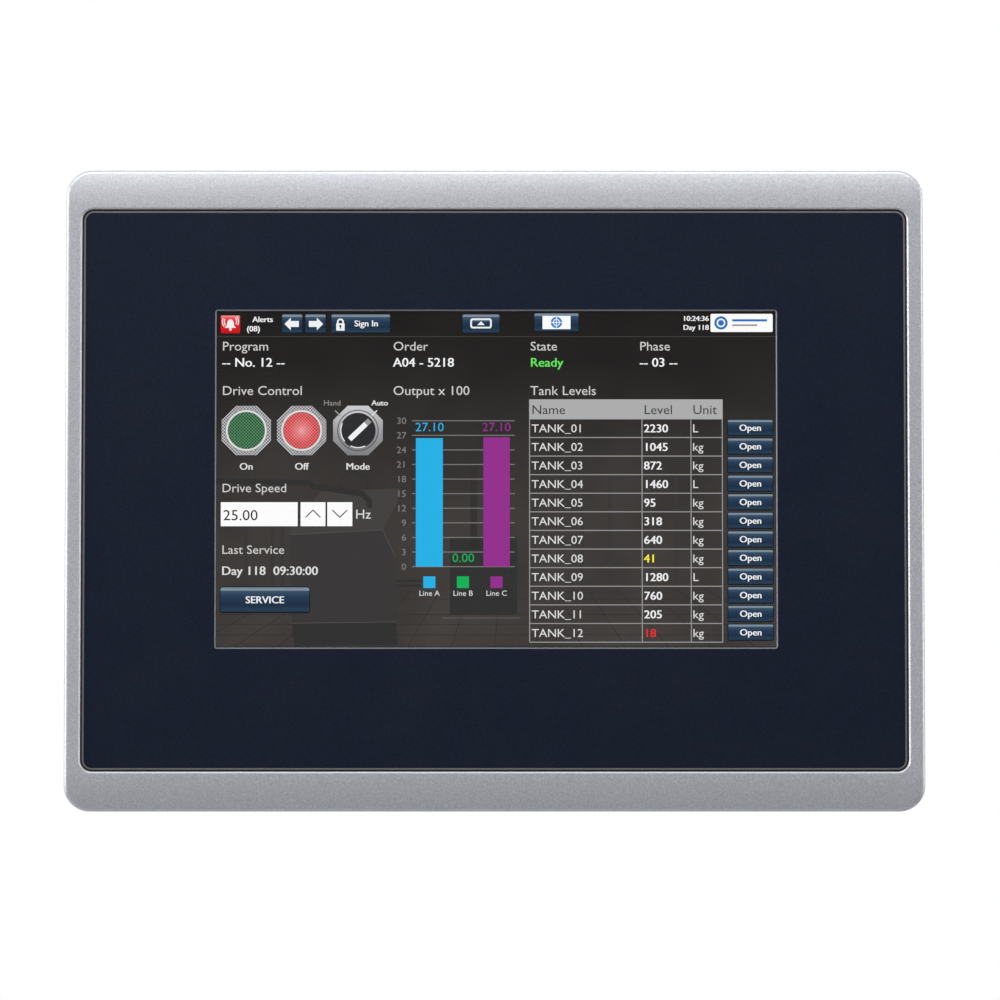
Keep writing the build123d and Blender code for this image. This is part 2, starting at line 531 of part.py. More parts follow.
with BuildPart() as power_terminal:
    block(around(POWER_X, TERMINAL_W), (PORT_BASE, PORT_BASE + TERMINAL_H),
          (PORT_FACE, PORT_FACE + TERMINAL_L))
    for x in POLE_X:
        block(around(x, WIRE_MOUTH_W), around(WIRE_MOUTH_Y, WIRE_MOUTH_H),
              (PORT_FACE, PORT_FACE + WIRE_MOUTH_D), mode=Mode.SUBTRACT)
    with BuildSketch(Plane.XY.offset(PORT_FACE)) as screw_wells:
        with Locations(*[(x, TERMINAL_SCREW_Y) for x in POLE_X]):
            Circle(TERMINAL_WELL_R)
    extrude(screw_wells.sketch, amount=TERMINAL_WELL_D, mode=Mode.SUBTRACT)
save(power_terminal.part, "power_terminal")

with BuildPart() as power_terminal_screws:
    with BuildSketch(Plane.XY.offset(PORT_FACE + TERMINAL_SCREW_SINK)) as terminal_heads:
        with Locations(*[(x, TERMINAL_SCREW_Y) for x in POLE_X]):
            Circle(TERMINAL_SCREW_R)
    extrude(terminal_heads.sketch, amount=TERMINAL_WELL_D - TERMINAL_SCREW_SINK)
    with BuildSketch(Plane.XY.offset(PORT_FACE + TERMINAL_SCREW_SINK)) as terminal_slots:
        with Locations(*[(x, TERMINAL_SCREW_Y) for x in POLE_X]):
            Rectangle(3 * TERMINAL_SCREW_R, TERMINAL_SLOT_W, rotation=25)
    extrude(terminal_slots.sketch, amount=1.0, mode=Mode.SUBTRACT)
save(power_terminal_screws.part, "power_terminal_screws")

# ---------------------------------------------------------------- rear housing
REAR_EDGE_ROUND = 2.0
SCREW_HOLE_R, SCREW_WELL_R, SCREW_WELL_D = SCREW_R + 0.2, SCREW_HEAD_R + 0.35, 3.0
COVER_BOSS_R, COVER_SCREW_R, COVER_BOSS_D = 3.0, 1.25, 6.0
COVER_SCREW_CENTRES = [(x, BAY_Z + side * COVER_SCREW_Z) for x in BAY_X for side in (-1, 1)]
LUG_INNER = KNUCKLE_HALF + 0.25
GROUND_X, GROUND_Y, GROUND_R = -92.0, 45.0, 2.0
WALL_OUTSIDE, WALL_INSIDE = HALF_H + 1.0, INNER_H / 2 - 0.5
BOTTOM_WALL = (-WALL_OUTSIDE, -WALL_INSIDE)
PORT_PLATE_W, PORT_PLATE_MARGIN, PORT_PLATE_GAP = 144.0, 2.4, 0.15
PORT_PLATE_Y = (PORT_BASE - PORT_PLATE_MARGIN, PORT_BASE + USB_HOST_H + PORT_PLATE_MARGIN)
FLANGE_REACH, FLANGE_INNER, FLANGE_T = 1.5, 1.2, 0.8


def grown(limits, margin):
    """Limits of a span widened by a margin at both ends."""
    return (limits[0] - margin, limits[1] + margin)


with BuildPart() as rear_housing:
    slab(HOUSING_W, HOUSING_H, BEZEL_REAR, HOUSING_REAR, HOUSING_CORNER)
    fillet(rear_housing.faces().sort_by(Axis.Y)[-1].edges(), REAR_EDGE_ROUND)
    slab(INNER_W, INNER_H, BEZEL_REAR, INNER_REAR, HOUSING_CORNER - WALL, mode=Mode.SUBTRACT)
    # Cooling ribs across the lower rear.
    with BuildSketch(across(HOUSING_REAR + FIN_HEIGHT)) as ribs:
        with Locations((0, (FIN_BOTTOM + FIN_TOP) / 2)):
            with GridLocations(FIN_PITCH, 0, FIN_COUNT, 1):
                SlotOverall(FIN_TOP - FIN_BOTTOM, FIN_WIDTH, rotation=90)
    extrude(ribs.sketch, amount=FIN_HEIGHT)
    # Full-depth screw columns webbed to the side walls.
    round_along_y(BOSS_R, BEZEL_REAR, INNER_REAR, HOUSING_SCREW_CENTRES)
    for x, z in HOUSING_SCREW_CENTRES:
        block(sorted((x, math.copysign(INNER_W / 2, x))), (BEZEL_REAR, INNER_REAR), around(z, WALL))
    # Module bays: a recess for each cover, the opening behind it, and blind bosses for its two screws.
    round_along_y(COVER_BOSS_R, INNER_REAR - COVER_BOSS_D, INNER_REAR, COVER_SCREW_CENTRES)
    for x in BAY_X:
        slab(COVER_W + 2 * COVER_GAP, COVER_H + 2 * COVER_GAP, HOUSING_REAR - COVER_T, HOUSING_REAR,
             2.0 + COVER_GAP, centre=(x, BAY_Z), mode=Mode.SUBTRACT)
        slab(BAY_OPEN_W, BAY_OPEN_H, INNER_REAR, HOUSING_REAR, 2.0, centre=(x, BAY_Z), mode=Mode.SUBTRACT)
    round_along_y(COVER_SCREW_R, INNER_REAR - COVER_BOSS_D + 1.0, HOUSING_REAR, COVER_SCREW_CENTRES,
                  mode=Mode.SUBTRACT)
    # Battery opening, door recess with a finger notch, and the two hinge lugs.
    battery = (BATTERY_X, BATTERY_Z)
    slab(BATTERY_BAY, BATTERY_BAY, INNER_REAR, HOUSING_REAR, 1.0, centre=battery, mode=Mode.SUBTRACT)
    slab(DOOR_SIZE + 2 * DOOR_GAP, DOOR_SIZE + 2 * DOOR_GAP, HOUSING_REAR - DOOR_T - 0.1, HOUSING_REAR, 1.0,
         centre=battery, mode=Mode.SUBTRACT)
    slab(12.0, 3.6, HOUSING_REAR - DOOR_T - 0.1, HOUSING_REAR, 1.7,
         centre=(BATTERY_X, BATTERY_Z - DOOR_SIZE / 2 - DOOR_GAP), mode=Mode.SUBTRACT)
    for side in (-1, 1):
        lug_x = sorted((BATTERY_X + side * LUG_INNER, BATTERY_X + side * (LUG_INNER + LUG_T)))
        block(lug_x, (HOUSING_REAR - 0.2, HINGE_Y), around(HINGE_Z, 2 * KNUCKLE_R))
        with BuildSketch(Plane.YZ.offset(lug_x[0])) as lug:
            with Locations((HINGE_Y, HINGE_Z)):
                Circle(KNUCKLE_R)
        extrude(lug.sketch, amount=LUG_T)
    with BuildSketch(Plane.YZ.offset(BATTERY_X - LUG_INNER - LUG_T)) as bore:
        with Locations((HINGE_Y, HINGE_Z)):
            Circle(HINGE_PIN_R)
    extrude(bore.sketch, amount=2 * (LUG_INNER + LUG_T), mode=Mode.SUBTRACT)
    # Cut-out for the port plate in the bottom wall, and the card slot in the right-hand wall.
    block(around(0.0, PORT_PLATE_W + 2 * PORT_PLATE_GAP), grown(PORT_PLATE_Y, PORT_PLATE_GAP), BOTTOM_WALL,
          mode=Mode.SUBTRACT)
    block((INNER_W / 2 - 0.5, HOUSING_W / 2 + 1.0), around(PORT_BASE + CARD_T / 2, CARD_T + 2 * PORT_GAP),
          around(CARD_Z, CARD_W + 2 * PORT_GAP), mode=Mode.SUBTRACT)
    # Slots in the top and bottom walls for the clamp tabs.
    for x in (-CLAMP_X, CLAMP_X):
        for tab in (-TAB_X, TAB_X):
            block(around(x + tab, SLOT_W), (SLOT_FRONT, SLOT_REAR), BOTTOM_WALL, mode=Mode.SUBTRACT)
            block(around(x + tab, SLOT_W), (SLOT_FRONT, SLOT_REAR), (WALL_INSIDE, WALL_OUTSIDE),
                  mode=Mode.SUBTRACT)
    # Ground boss and its threaded hole.
    with BuildSketch(Plane.XY.offset(-HALF_H)) as ground_boss:
        with Locations((GROUND_X, GROUND_Y)):
            Circle(2 * GROUND_R)
    extrude(ground_boss.sketch, amount=WALL + 4.0)
    with BuildSketch(Plane.XY.offset(-HALF_H)) as ground_hole:
        with Locations((GROUND_X, GROUND_Y)):
            Circle(GROUND_R)
    extrude(ground_hole.sketch, amount=WALL + 3.0, mode=Mode.SUBTRACT)
    # Screw holes and head wells.
    round_along_y(SCREW_HOLE_R, BEZEL_REAR, HOUSING_REAR, HOUSING_SCREW_CENTRES, mode=Mode.SUBTRACT)
    round_along_y(SCREW_WELL_R, HOUSING_REAR - SCREW_WELL_D, HOUSING_REAR, HOUSING_SCREW_CENTRES,
                  mode=Mode.SUBTRACT)
save(rear_housing.part, "rear_housing")

with BuildPart() as housing_screws:
    head_seat = HOUSING_REAR - SCREW_WELL_D
    round_along_y(SCREW_R, HOUSING_SCREW_TIP + 0.4, head_seat, HOUSING_SCREW_CENTRES)
    round_along_y(SCREW_HEAD_R, head_seat, head_seat + SCREW_HEAD_H, HOUSING_SCREW_CENTRES)
    with BuildSketch(across(head_seat + SCREW_HEAD_H)) as drive:
        with Locations(*HOUSING_SCREW_CENTRES):
            RegularPolygon(1.35, 6)
    extrude(drive.sketch, amount=1.2, mode=Mode.SUBTRACT)
save(housing_screws.part, "housing_screws")

# ---------------------------------------------------------------- port plate in the bottom wall
PLATE_OUTER_Z, PLATE_INNER_Z = -HALF_H, -INNER_H / 2
PORT_OPENINGS = [(x, width, JACK_H) for x, width, _ in JACKS.values()]
PORT_OPENINGS += [(USB_HOST_X, USB_HOST_W, USB_HOST_H), (USB_DEVICE_X, USB_DEVICE_W, USB_DEVICE_H),
                  (POWER_X, TERMINAL_W, TERMINAL_H)]

with BuildPart() as port_plate:
    block(around(0.0, PORT_PLATE_W + 2 * FLANGE_REACH), grown(PORT_PLATE_Y, FLANGE_REACH),
          (PLATE_INNER_Z, PLATE_INNER_Z + FLANGE_T))
    block(around(0.0, PORT_PLATE_W - 2 * FLANGE_INNER), grown(PORT_PLATE_Y, -FLANGE_INNER),
          (PLATE_INNER_Z, PLATE_INNER_Z + FLANGE_T), mode=Mode.SUBTRACT)
    block(around(0.0, PORT_PLATE_W), PORT_PLATE_Y, (PLATE_OUTER_Z, PLATE_INNER_Z))
    for x, width, height in PORT_OPENINGS:
        block(around(x, width + 2 * PORT_GAP), grown((PORT_BASE, PORT_BASE + height), PORT_GAP), BOTTOM_WALL,
              mode=Mode.SUBTRACT)
    with BuildSketch(Plane.XY.offset(PLATE_OUTER_Z)) as reset_hole:
        with Locations((RESET_X, RESET_Y)):
            Circle(RESET_HOLE_R)
    extrude(reset_hole.sketch, amount=WALL, mode=Mode.SUBTRACT)
save(port_plate.part, "port_plate")

# ---------------------------------------------------------------- module bay covers
COVER_HOLE_R = COVER_SCREW_R + 0.35

for index, x in enumerate(BAY_X, start=1):
    with BuildPart() as module_cover:
        slab(COVER_W, COVER_H, HOUSING_REAR - COVER_T, HOUSING_REAR, 2.0, centre=(x, BAY_Z))
        chamfer(module_cover.faces().sort_by(Axis.Y)[-1].edges(), 0.3)
        # A stiffening rim that drops into the opening.
        slab(BAY_OPEN_W - 1.0, BAY_OPEN_H - 1.0, HOUSING_REAR - COVER_T - 1.6, HOUSING_REAR - COVER_T, 1.5,
             centre=(x, BAY_Z))
        slab(BAY_OPEN_W - 4.0, BAY_OPEN_H - 4.0, HOUSING_REAR - COVER_T - 1.6, HOUSING_REAR - COVER_T, 1.0,
             centre=(x, BAY_Z), mode=Mode.SUBTRACT)
        round_along_y(COVER_HOLE_R, HOUSING_REAR - COVER_T, HOUSING_REAR,
                      [(x, BAY_Z + side * COVER_SCREW_Z) for side in (-1, 1)], mode=Mode.SUBTRACT)
    save(module_cover.part, f"module_cover_{index}")

with BuildPart() as module_cover_screws:
    round_along_y(COVER_SCREW_R, INNER_REAR - COVER_BOSS_D + 1.4, HOUSING_REAR, COVER_SCREW_CENTRES)
    round_along_y(2.4, HOUSING_REAR, HOUSING_REAR + 1.6, COVER_SCREW_CENTRES)
    with BuildSketch(across(HOUSING_REAR + 1.6)) as cross:
        with Locations(*COVER_SCREW_CENTRES):
            Rectangle(2.6, 0.6)
            Rectangle(0.6, 2.6)
    extrude(cross.sketch, amount=1.0, mode=Mode.SUBTRACT)
save(module_cover_screws.part, "module_cover_screws")

# ---------------------------------------------------------------- battery, holder, door and hinge pin
HOLDER_SIZE, HOLDER_FLOOR, HOLDER_RIM = 25.0, BATTERY_FLOOR + 1.0, BATTERY_FLOOR + 3.6
CLIP_FRONT = HOLDER_FLOOR + CELL_T + 0.1
WELL = BATTERY_BAY + 2 * BATTERY_WELL_WALL

with BuildPart() as battery_holder:
    # A square well against the inside of the rear wall, with the cell's cradle on its floor.
    slab(WELL, WELL, BATTERY_FLOOR - BATTERY_WELL_WALL, INNER_REAR, 2.0, centre=battery)
    slab(BATTERY_BAY, BATTERY_BAY, BATTERY_FLOOR, INNER_REAR, 1.0, centre=battery, mode=Mode.SUBTRACT)
    slab(HOLDER_SIZE, HOLDER_SIZE, BATTERY_FLOOR, HOLDER_RIM, 2.0, centre=battery)
    round_along_y(CELL_R + 0.15, HOLDER_FLOOR, HOLDER_RIM, [battery], mode=Mode.SUBTRACT)
    block(around(BATTERY_X, 5.0), (HOLDER_FLOOR, CLIP_FRONT + 0.5), (BATTERY_Z - 12.5, BATTERY_Z - 10.6))
    block(around(BATTERY_X, 5.0), (CLIP_FRONT, CLIP_FRONT + 0.5), (BATTERY_Z - 12.5, BATTERY_Z - 2.0))
save(battery_holder.part, "battery_holder")

with BuildPart() as coin_cell:
    round_along_y(CELL_R, HOLDER_FLOOR, HOLDER_FLOOR + CELL_T, [battery])
    fillet(coin_cell.edges().filter_by(GeomType.CIRCLE), 0.35)
save(coin_cell.part, "coin_cell")

ARM_FRONT = HOUSING_REAR
ARM_REACH = 5.0

with BuildPart() as battery_door:
    slab(DOOR_SIZE, DOOR_SIZE, HOUSING_REAR - DOOR_T, HOUSING_REAR, 0.8, centre=battery)
    block(around(BATTERY_X, 2 * KNUCKLE_HALF), (ARM_FRONT, HINGE_Y), (HINGE_Z - ARM_REACH, HINGE_Z - 2.0))
    block(around(BATTERY_X, 2 * KNUCKLE_HALF), (HINGE_Y - KNUCKLE_R, HINGE_Y), (HINGE_Z - 2.1, HINGE_Z))
    with BuildSketch(Plane.YZ.offset(BATTERY_X - KNUCKLE_HALF)) as knuckle:
        with Locations((HINGE_Y, HINGE_Z)):
            Circle(KNUCKLE_R)
    extrude(knuckle.sketch, amount=2 * KNUCKLE_HALF)
    with BuildSketch(Plane.YZ.offset(BATTERY_X - KNUCKLE_HALF)) as knuckle_bore:
        with Locations((HINGE_Y, HINGE_Z)):
            Circle(HINGE_PIN_R + 0.06)
    extrude(knuckle_bore.sketch, amount=2 * KNUCKLE_HALF, mode=Mode.SUBTRACT)
    # Finger rib along the free edge.
    block(around(BATTERY_X, 10.0), (HOUSING_REAR, HOUSING_REAR + 1.0),
          (BATTERY_Z - DOOR_SIZE / 2 + 1.5, BATTERY_Z - DOOR_SIZE / 2 + 3.0))
save(battery_door.part, "battery_door")

with BuildPart() as battery_hinge_pin:
    pin_end = LUG_INNER + LUG_T
    with BuildSketch(Plane.YZ.offset(BATTERY_X - pin_end)) as pin:
        with Locations((HINGE_Y, HINGE_Z)):
            Circle(HINGE_PIN_R)
    extrude(pin.sketch, amount=2 * pin_end)
    with BuildSketch(Plane.YZ.offset(BATTERY_X - pin_end - 0.6)) as pin_head:
        with Locations((HINGE_Y, HINGE_Z)):
            Circle(1.25)
    extrude(pin_head.sketch, amount=0.6)
save(battery_hinge_pin.part, "battery_hinge_pin")

# ---------------------------------------------------------------- ground screw and rating plate
WASHER_R, WASHER_T, GROUND_HEAD_R, GROUND_HEAD_H = 4.3, 0.8, 3.5, 2.2

with BuildPart() as ground_screw:
    for top, radius, length in (
            (-HALF_H, GROUND_R, -(WALL + 2.4)),
            (-HALF_H, WASHER_R, WASHER_T),
            (-HALF_H - WASHER_T, GROUND_HEAD_R, GROUND_HEAD_H)):
        with BuildSketch(Plane.XY.offset(top)) as disc:
            with Locations((GROUND_X, GROUND_Y)):
                Circle(radius)
        extrude(disc.sketch, amount=-length)
    with BuildSketch(Plane.XY.offset(-HALF_H - WASHER_T - GROUND_HEAD_H)) as ground_slot:
        with Locations((GROUND_X, GROUND_Y)):
            Rectangle(8.0, 1.0)
    extrude(ground_slot.sketch, amount=1.2, mode=Mode.SUBTRACT)
save(ground_screw.part, "ground_screw")

PLATE_X, PLATE_Z, PLATE_W, PLATE_H, PLATE_T = 73.0, -2.0, 40.0, 36.0, 0.2

with BuildPart() as rating_plate:
    slab(PLATE_W, PLATE_H, HOUSING_REAR, HOUSING_REAR + PLATE_T, 1.5, centre=(PLATE_X, PLATE_Z))
save(rating_plate.part, "rating_plate")

# ---------------------------------------------------------------- panel clamps
CLAMP_Z = HALF_H + CLAMP_SCREW_OFFSET
CLAMPS = [(x, side) for side in (1, -1) for x in (-CLAMP_X, CLAMP_X)]
FOOT_REAR = 21.0
FOOT_INSIDE = (HALF_H - WALL - 2.3, HALF_H - WALL - 0.2)


def span(low, high, side):
    """Vertical range measured outward from the middle of the part, above it or below it."""
    return sorted((side * low, side * high))


with BuildPart() as clamp_brackets:
    for x, side in CLAMPS:
        block(around(x, 2 * CLAMP_HALF_W), (CLAMP_FRONT, CLAMP_REAR),
              span(HALF_H + CLAMP_CLEARANCE, HALF_H + CLAMP_CLEARANCE + CLAMP_HEIGHT, side))
    outer = clamp_brackets.edges().filter_by(Axis.X).filter_by(
        lambda e: abs(e.center().Z) > HALF_H + CLAMP_HEIGHT - 1)
    chamfer(outer, 1.0)
    for x, side in CLAMPS:
        for tab in (-TAB_X, TAB_X):
            block(around(x + tab, TAB_W), (TAB_REAR - TAB_T, TAB_REAR),
                  span(FOOT_INSIDE[0], HALF_H + 1.0, side))
            block(around(x + tab, TAB_W), (TAB_REAR - TAB_T, FOOT_REAR), span(*FOOT_INSIDE, side))
    round_along_y(CLAMP_BORE_R, CLAMP_FRONT, CLAMP_REAR, [(x, side * CLAMP_Z) for x, side in CLAMPS],
                  mode=Mode.SUBTRACT)
save(clamp_brackets.part, "clamp_brackets")

PAD_SOCKET, SCREW_TIP = 8.0, 8.4

for index, (x, side) in enumerate(CLAMPS, start=1):
    centre = [(x, side * CLAMP_Z)]
    with BuildPart() as clamp_pad:
        round_along_y(PAD_FOOT_R, PAD_FRONT, PAD_FRONT + 1.2, centre)
        round_along_y(PAD_R, PAD_FRONT + 1.2, PAD_REAR, centre)
        round_along_y(CLAMP_BORE_R, PAD_SOCKET, PAD_REAR, centre, mode=Mode.SUBTRACT)
    save(clamp_pad.part, f"clamp_pad_{index}")
    with BuildPart() as clamp_screw:
        round_along_y(CLAMP_SCREW_R, SCREW_TIP, CLAMP_HEAD_FRONT, centre)
        round_along_y(CLAMP_HEAD_R, CLAMP_HEAD_FRONT, CLAMP_HEAD_REAR, centre)
        chamfer(clamp_screw.edges().filter_by(GeomType.CIRCLE).sort_by(Axis.Y)[-1], 0.4)
        slab(2 * CLAMP_HEAD_R + 1.0, 1.0, CLAMP_HEAD_REAR - 1.5, CLAMP_HEAD_REAR, centre=centre[0],
             mode=Mode.SUBTRACT)
        chamfer(clamp_screw.edges().filter_by(GeomType.CIRCLE).sort_by(Axis.Y)[0], 0.4)
    save(clamp_screw.part, f"clamp_screw_{index}")
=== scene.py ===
import math

import bmesh
import bpy
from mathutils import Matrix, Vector


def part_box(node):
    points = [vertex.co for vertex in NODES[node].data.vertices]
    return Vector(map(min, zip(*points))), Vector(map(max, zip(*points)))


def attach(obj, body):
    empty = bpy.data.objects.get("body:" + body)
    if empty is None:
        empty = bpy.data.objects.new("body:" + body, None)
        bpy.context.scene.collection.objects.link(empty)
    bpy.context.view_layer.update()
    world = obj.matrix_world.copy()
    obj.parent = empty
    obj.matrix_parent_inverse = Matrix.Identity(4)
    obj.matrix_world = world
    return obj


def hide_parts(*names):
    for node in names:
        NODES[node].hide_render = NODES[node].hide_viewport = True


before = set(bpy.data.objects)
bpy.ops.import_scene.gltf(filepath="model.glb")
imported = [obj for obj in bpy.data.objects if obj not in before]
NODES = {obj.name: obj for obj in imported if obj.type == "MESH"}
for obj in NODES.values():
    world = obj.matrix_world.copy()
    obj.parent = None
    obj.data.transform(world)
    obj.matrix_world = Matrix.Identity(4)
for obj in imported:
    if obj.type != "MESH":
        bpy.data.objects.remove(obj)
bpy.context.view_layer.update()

# Looks of the panel-mount touch terminal. Everything is in metres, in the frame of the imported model:
# +X right seen from the front, +Y to the rear, +Z up, origin at the centre of the gasket's rear face.

MM = 0.001
ROOT = "housing"


def linear(srgb):
    """Linear colour with alpha 1 from an 8-bit screen colour."""
    parts = [c / 255 for c in srgb]
    return tuple(c / 12.92 if c <= 0.04045 else ((c + 0.055) / 1.055) ** 2.4 for c in parts) + (1.0,)


# ---------------------------------------------------------------- material building blocks
class Shader:
    """One node material with a Principled shader and a few procedural inputs."""

    def __init__(self, name, colour, roughness=0.5, metallic=0.0, specular=0.5, coat=0.0, alpha=1.0):
        self.material = bpy.data.materials.new(name)
        self.material.use_nodes = True
        self.nodes = self.material.node_tree.nodes
        self.links = self.material.node_tree.links
        self.shader = self.nodes["Principled BSDF"]
        self.colour = tuple(colour)[:3] + (1.0,)
        self.set("Base Color", self.colour)
        self.set("Roughness", roughness)
        self.set("Metallic", metallic)
        self.set("Specular IOR Level", specular)
        self.set("Coat Weight", coat)
        self.set("Alpha", alpha)
        self.height = None

    def set(self, socket, value):
        self.shader.inputs[socket].default_value = value

    def node(self, kind, **settings):
        made = self.nodes.new(kind)
        for key, value in settings.items():
            setattr(made, key, value)
        return made

    def join(self, output, target):
        self.links.new(output, target)

    def coordinates(self, stretch=(1, 1, 1), turn=(0, 0, 0)):
        """The piece's own coordinates in metres, stretched and turned."""
        mapping = self.node("ShaderNodeMapping")
        mapping.inputs["Scale"].default_value = stretch
        mapping.inputs["Rotation"].default_value = turn
        self.join(self.node("ShaderNodeTexCoord").outputs["Object"], mapping.inputs["Vector"])
        return mapping.outputs["Vector"]

    def noise(self, per_metre, detail=3.0, stretch=(1, 1, 1)):
        made = self.node("ShaderNodeTexNoise")
        made.inputs["Scale"].default_value = per_metre
        made.inputs["Detail"].default_value = detail
        self.join(self.coordinates(stretch), made.inputs["Vector"])
        return made.outputs["Fac"]

    def ramp(self, value, stops):
        """Colour that runs through stops, each a (position, colour)."""
        made = self.node("ShaderNodeValToRGB")
        elements = made.color_ramp.elements
        while len(elements) < len(stops):
            elements.new(0.5)
        for element, (position, colour) in zip(elements, stops):
            element.position = position
            element.color = tuple(colour)[:3] + (1.0,)
        self.join(value, made.inputs["Fac"])
        return made.outputs["Color"]

    def blend(self, factor, first, second, mode="MIX"):
        """Mix of two colours; each is a socket or a plain colour, and factor is a socket or a number."""
        made = self.node("ShaderNodeMix", data_type="RGBA", blend_type=mode)
        for index, value in ((0, factor), (6, first), (7, second)):
            if hasattr(value, "links"):
                self.join(value, made.inputs[index])
            else:
                made.inputs[index].default_value = value
        return made.outputs[2]

    def tint(self, value, low, high, spread=0.16):
        """Shades the base colour between low and high times itself, following a noise value."""
        dark = [c * low for c in self.colour[:3]]
        light = [min(c * high, 1.0) for c in self.colour[:3]]
        shade = self.ramp(value, [(0.5 - spread, dark), (0.5 + spread, light)])
        self.join(shade, self.shader.inputs["Base Color"])

    def rough(self, value, low, high):
        """Lets the roughness run from low to high, following a noise value."""
        made = self.node("ShaderNodeMapRange")
        made.inputs["From Min"].default_value = 0.3
        made.inputs["From Max"].default_value = 0.7
        made.inputs["To Min"].default_value = low
        made.inputs["To Max"].default_value = high
        self.join(value, made.inputs["Value"])
        self.join(made.outputs["Result"], self.shader.inputs["Roughness"])

    def bump(self, value, depth):
        """Surface relief of a given depth in metres, on top of any relief made before."""
        made = self.node("ShaderNodeBump")
        made.inputs["Distance"].default_value = depth
        self.join(value, made.inputs["Height"])
        if self.height is not None:
            self.join(self.height, made.inputs["Normal"])
        self.height = made.outputs["Normal"]
        self.join(self.height, self.shader.inputs["Normal"])


def painted(name, colour, roughness, texture, per_metre):
    """Powder paint: fine speckle, slow blotches in the gloss, and an orange-peel surface."""
    made = Shader(name, colour, roughness)
    grain = made.noise(per_metre, 2.0)
    made.tint(grain, 0.9, 1.1)
    made.rough(made.noise(90, 4.0), roughness - 0.05, roughness + 0.06)
    made.bump(grain, texture)
    return made.material


def moulded(name, colour, roughness, texture=0.006 * MM, per_metre=1800):
    """Moulded plastic with a fine spark-eroded texture."""
    made = Shader(name, colour, roughness)
    grain = made.noise(per_metre, 3.0)
    made.tint(made.noise(140, 3.0), 0.97, 1.03)
    made.rough(grain, roughness - 0.06, roughness + 0.08)
    made.bump(grain, texture)
    return made.material


def brushed(name, colour, roughness=0.32, stretch=(1, 1, 14)):
    """Rolled or brushed metal with long fine scratches along one axis."""
    made = Shader(name, colour, roughness, 1.0)
    lines = made.noise(2200, 2.0, stretch=[1 / s for s in stretch])
    made.tint(lines, 0.86, 1.1)
    made.rough(lines, roughness - 0.08, roughness + 0.12)
    made.bump(lines, 0.003 * MM)
    return made.material


def plated(name, colour, roughness):
    """Plated or turned metal with faint blotches and handling marks."""
    made = Shader(name, colour, roughness, 1.0)
    made.tint(made.noise(500, 4.0), 0.93, 1.04)
    made.rough(made.noise(260, 4.0), roughness - 0.04, roughness + 0.08)
    made.bump(made.noise(3200, 2.0), 0.003 * MM)
    return made.material


def clear(name, colour, alpha, roughness):
    """Clear sheet seen edge on and face on: nearly invisible, with a soft sheen."""
    made = Shader(name, colour, roughness, alpha=alpha)
    made.tint(made.noise(300, 3.0), 0.96, 1.04)
    made.rough(made.noise(180, 3.0), roughness - 0.02, roughness + 0.05)
    return made.material


def circuit_board():
    """Green solder mask with raised copper tracks and a scatter of vias."""
    made = Shader("board_mask", (0.012, 0.11, 0.045), 0.38, coat=0.3)
    tracks = made.node("ShaderNodeTexBrick", offset=0.5, squash=1.4)
    tracks.inputs["Scale"].default_value = 260
    tracks.inputs["Mortar Size"].default_value = 0.035
    made.join(made.coordinates(turn=(math.radians(90), 0, 0)), tracks.inputs["Vector"])
    vias = made.node("ShaderNodeTexVoronoi")
    vias.inputs["Scale"].default_value = 300
    made.join(made.coordinates(), vias.inputs["Vector"])
    dots = made.ramp(vias.outputs["Distance"], [(0.12, (1, 1, 1)), (0.16, (0, 0, 0))])
    shade = made.blend(tracks.outputs["Fac"], made.colour, (0.03, 0.2, 0.08, 1))
    made.join(made.blend(dots, shade, (0.45, 0.42, 0.3, 1)), made.shader.inputs["Base Color"])
    made.bump(tracks.outputs["Fac"], 0.03 * MM)
    return made.material


SCREEN_POWER = 1.1


def glow(name, srgb):
    """Lit display colour, the same whatever the room light, over the dark grain of the polariser."""
    made = Shader(name, (0.006, 0.006, 0.007), 0.6, specular=0.0)
    made.tint(made.noise(5200, 2.0), 0.6, 1.5)
    made.set("Emission Color", linear(srgb))
    made.set("Emission Strength", SCREEN_POWER)
    return made.material


def glow_gradient(name, stops, haze=False):
    """Lit display colour that runs through stops, bottom to top, in the piece's own UV map."""
    made = Shader(name, (0, 0, 0), 0.6, specular=0.0)
    split = made.node("ShaderNodeSeparateXYZ")
    made.join(made.node("ShaderNodeTexCoord").outputs["UV"], split.inputs["Vector"])
    shade = made.ramp(split.outputs["Y"], [(position, linear(srgb)) for position, srgb in stops])
    if haze:
        cloud = made.ramp(made.noise(45, 3.0), [(0.3, (0.8, 0.8, 0.8)), (0.7, (1.15, 1.15, 1.15))])
        shade = made.blend(1.0, shade, cloud, "MULTIPLY")
    made.set("Emission Color", linear(stops[len(stops) // 2][1]))
    made.join(shade, made.shader.inputs["Emission Color"])
    made.set("Emission Strength", SCREEN_POWER)
    return made.material


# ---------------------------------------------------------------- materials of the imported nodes
def bezel_paint():
    """Silver powder paint: metallic flakes in a satin coat."""
    made = Shader("bezel_silver", (0.56, 0.57, 0.60), 0.42, 0.35)
    flakes = made.noise(2900, 1.0)
    made.tint(flakes, 0.84, 1.16, spread=0.2)
    made.rough(made.noise(1500, 2.0), 0.36, 0.52)
    made.bump(flakes, 0.01 * MM)
    return made.material


def overlay_print():
    """Matte navy polyester with a very fine anti-glare grain."""
    made = Shader("overlay_navy", linear((22, 29, 46)), 0.5, specular=0.16)
    grain = made.noise(2400, 2.0)
    made.tint(grain, 0.8, 1.22)
    made.rough(made.noise(60, 3.0), 0.46, 0.56)
    made.bump(grain, 0.004 * MM)
    return made.material


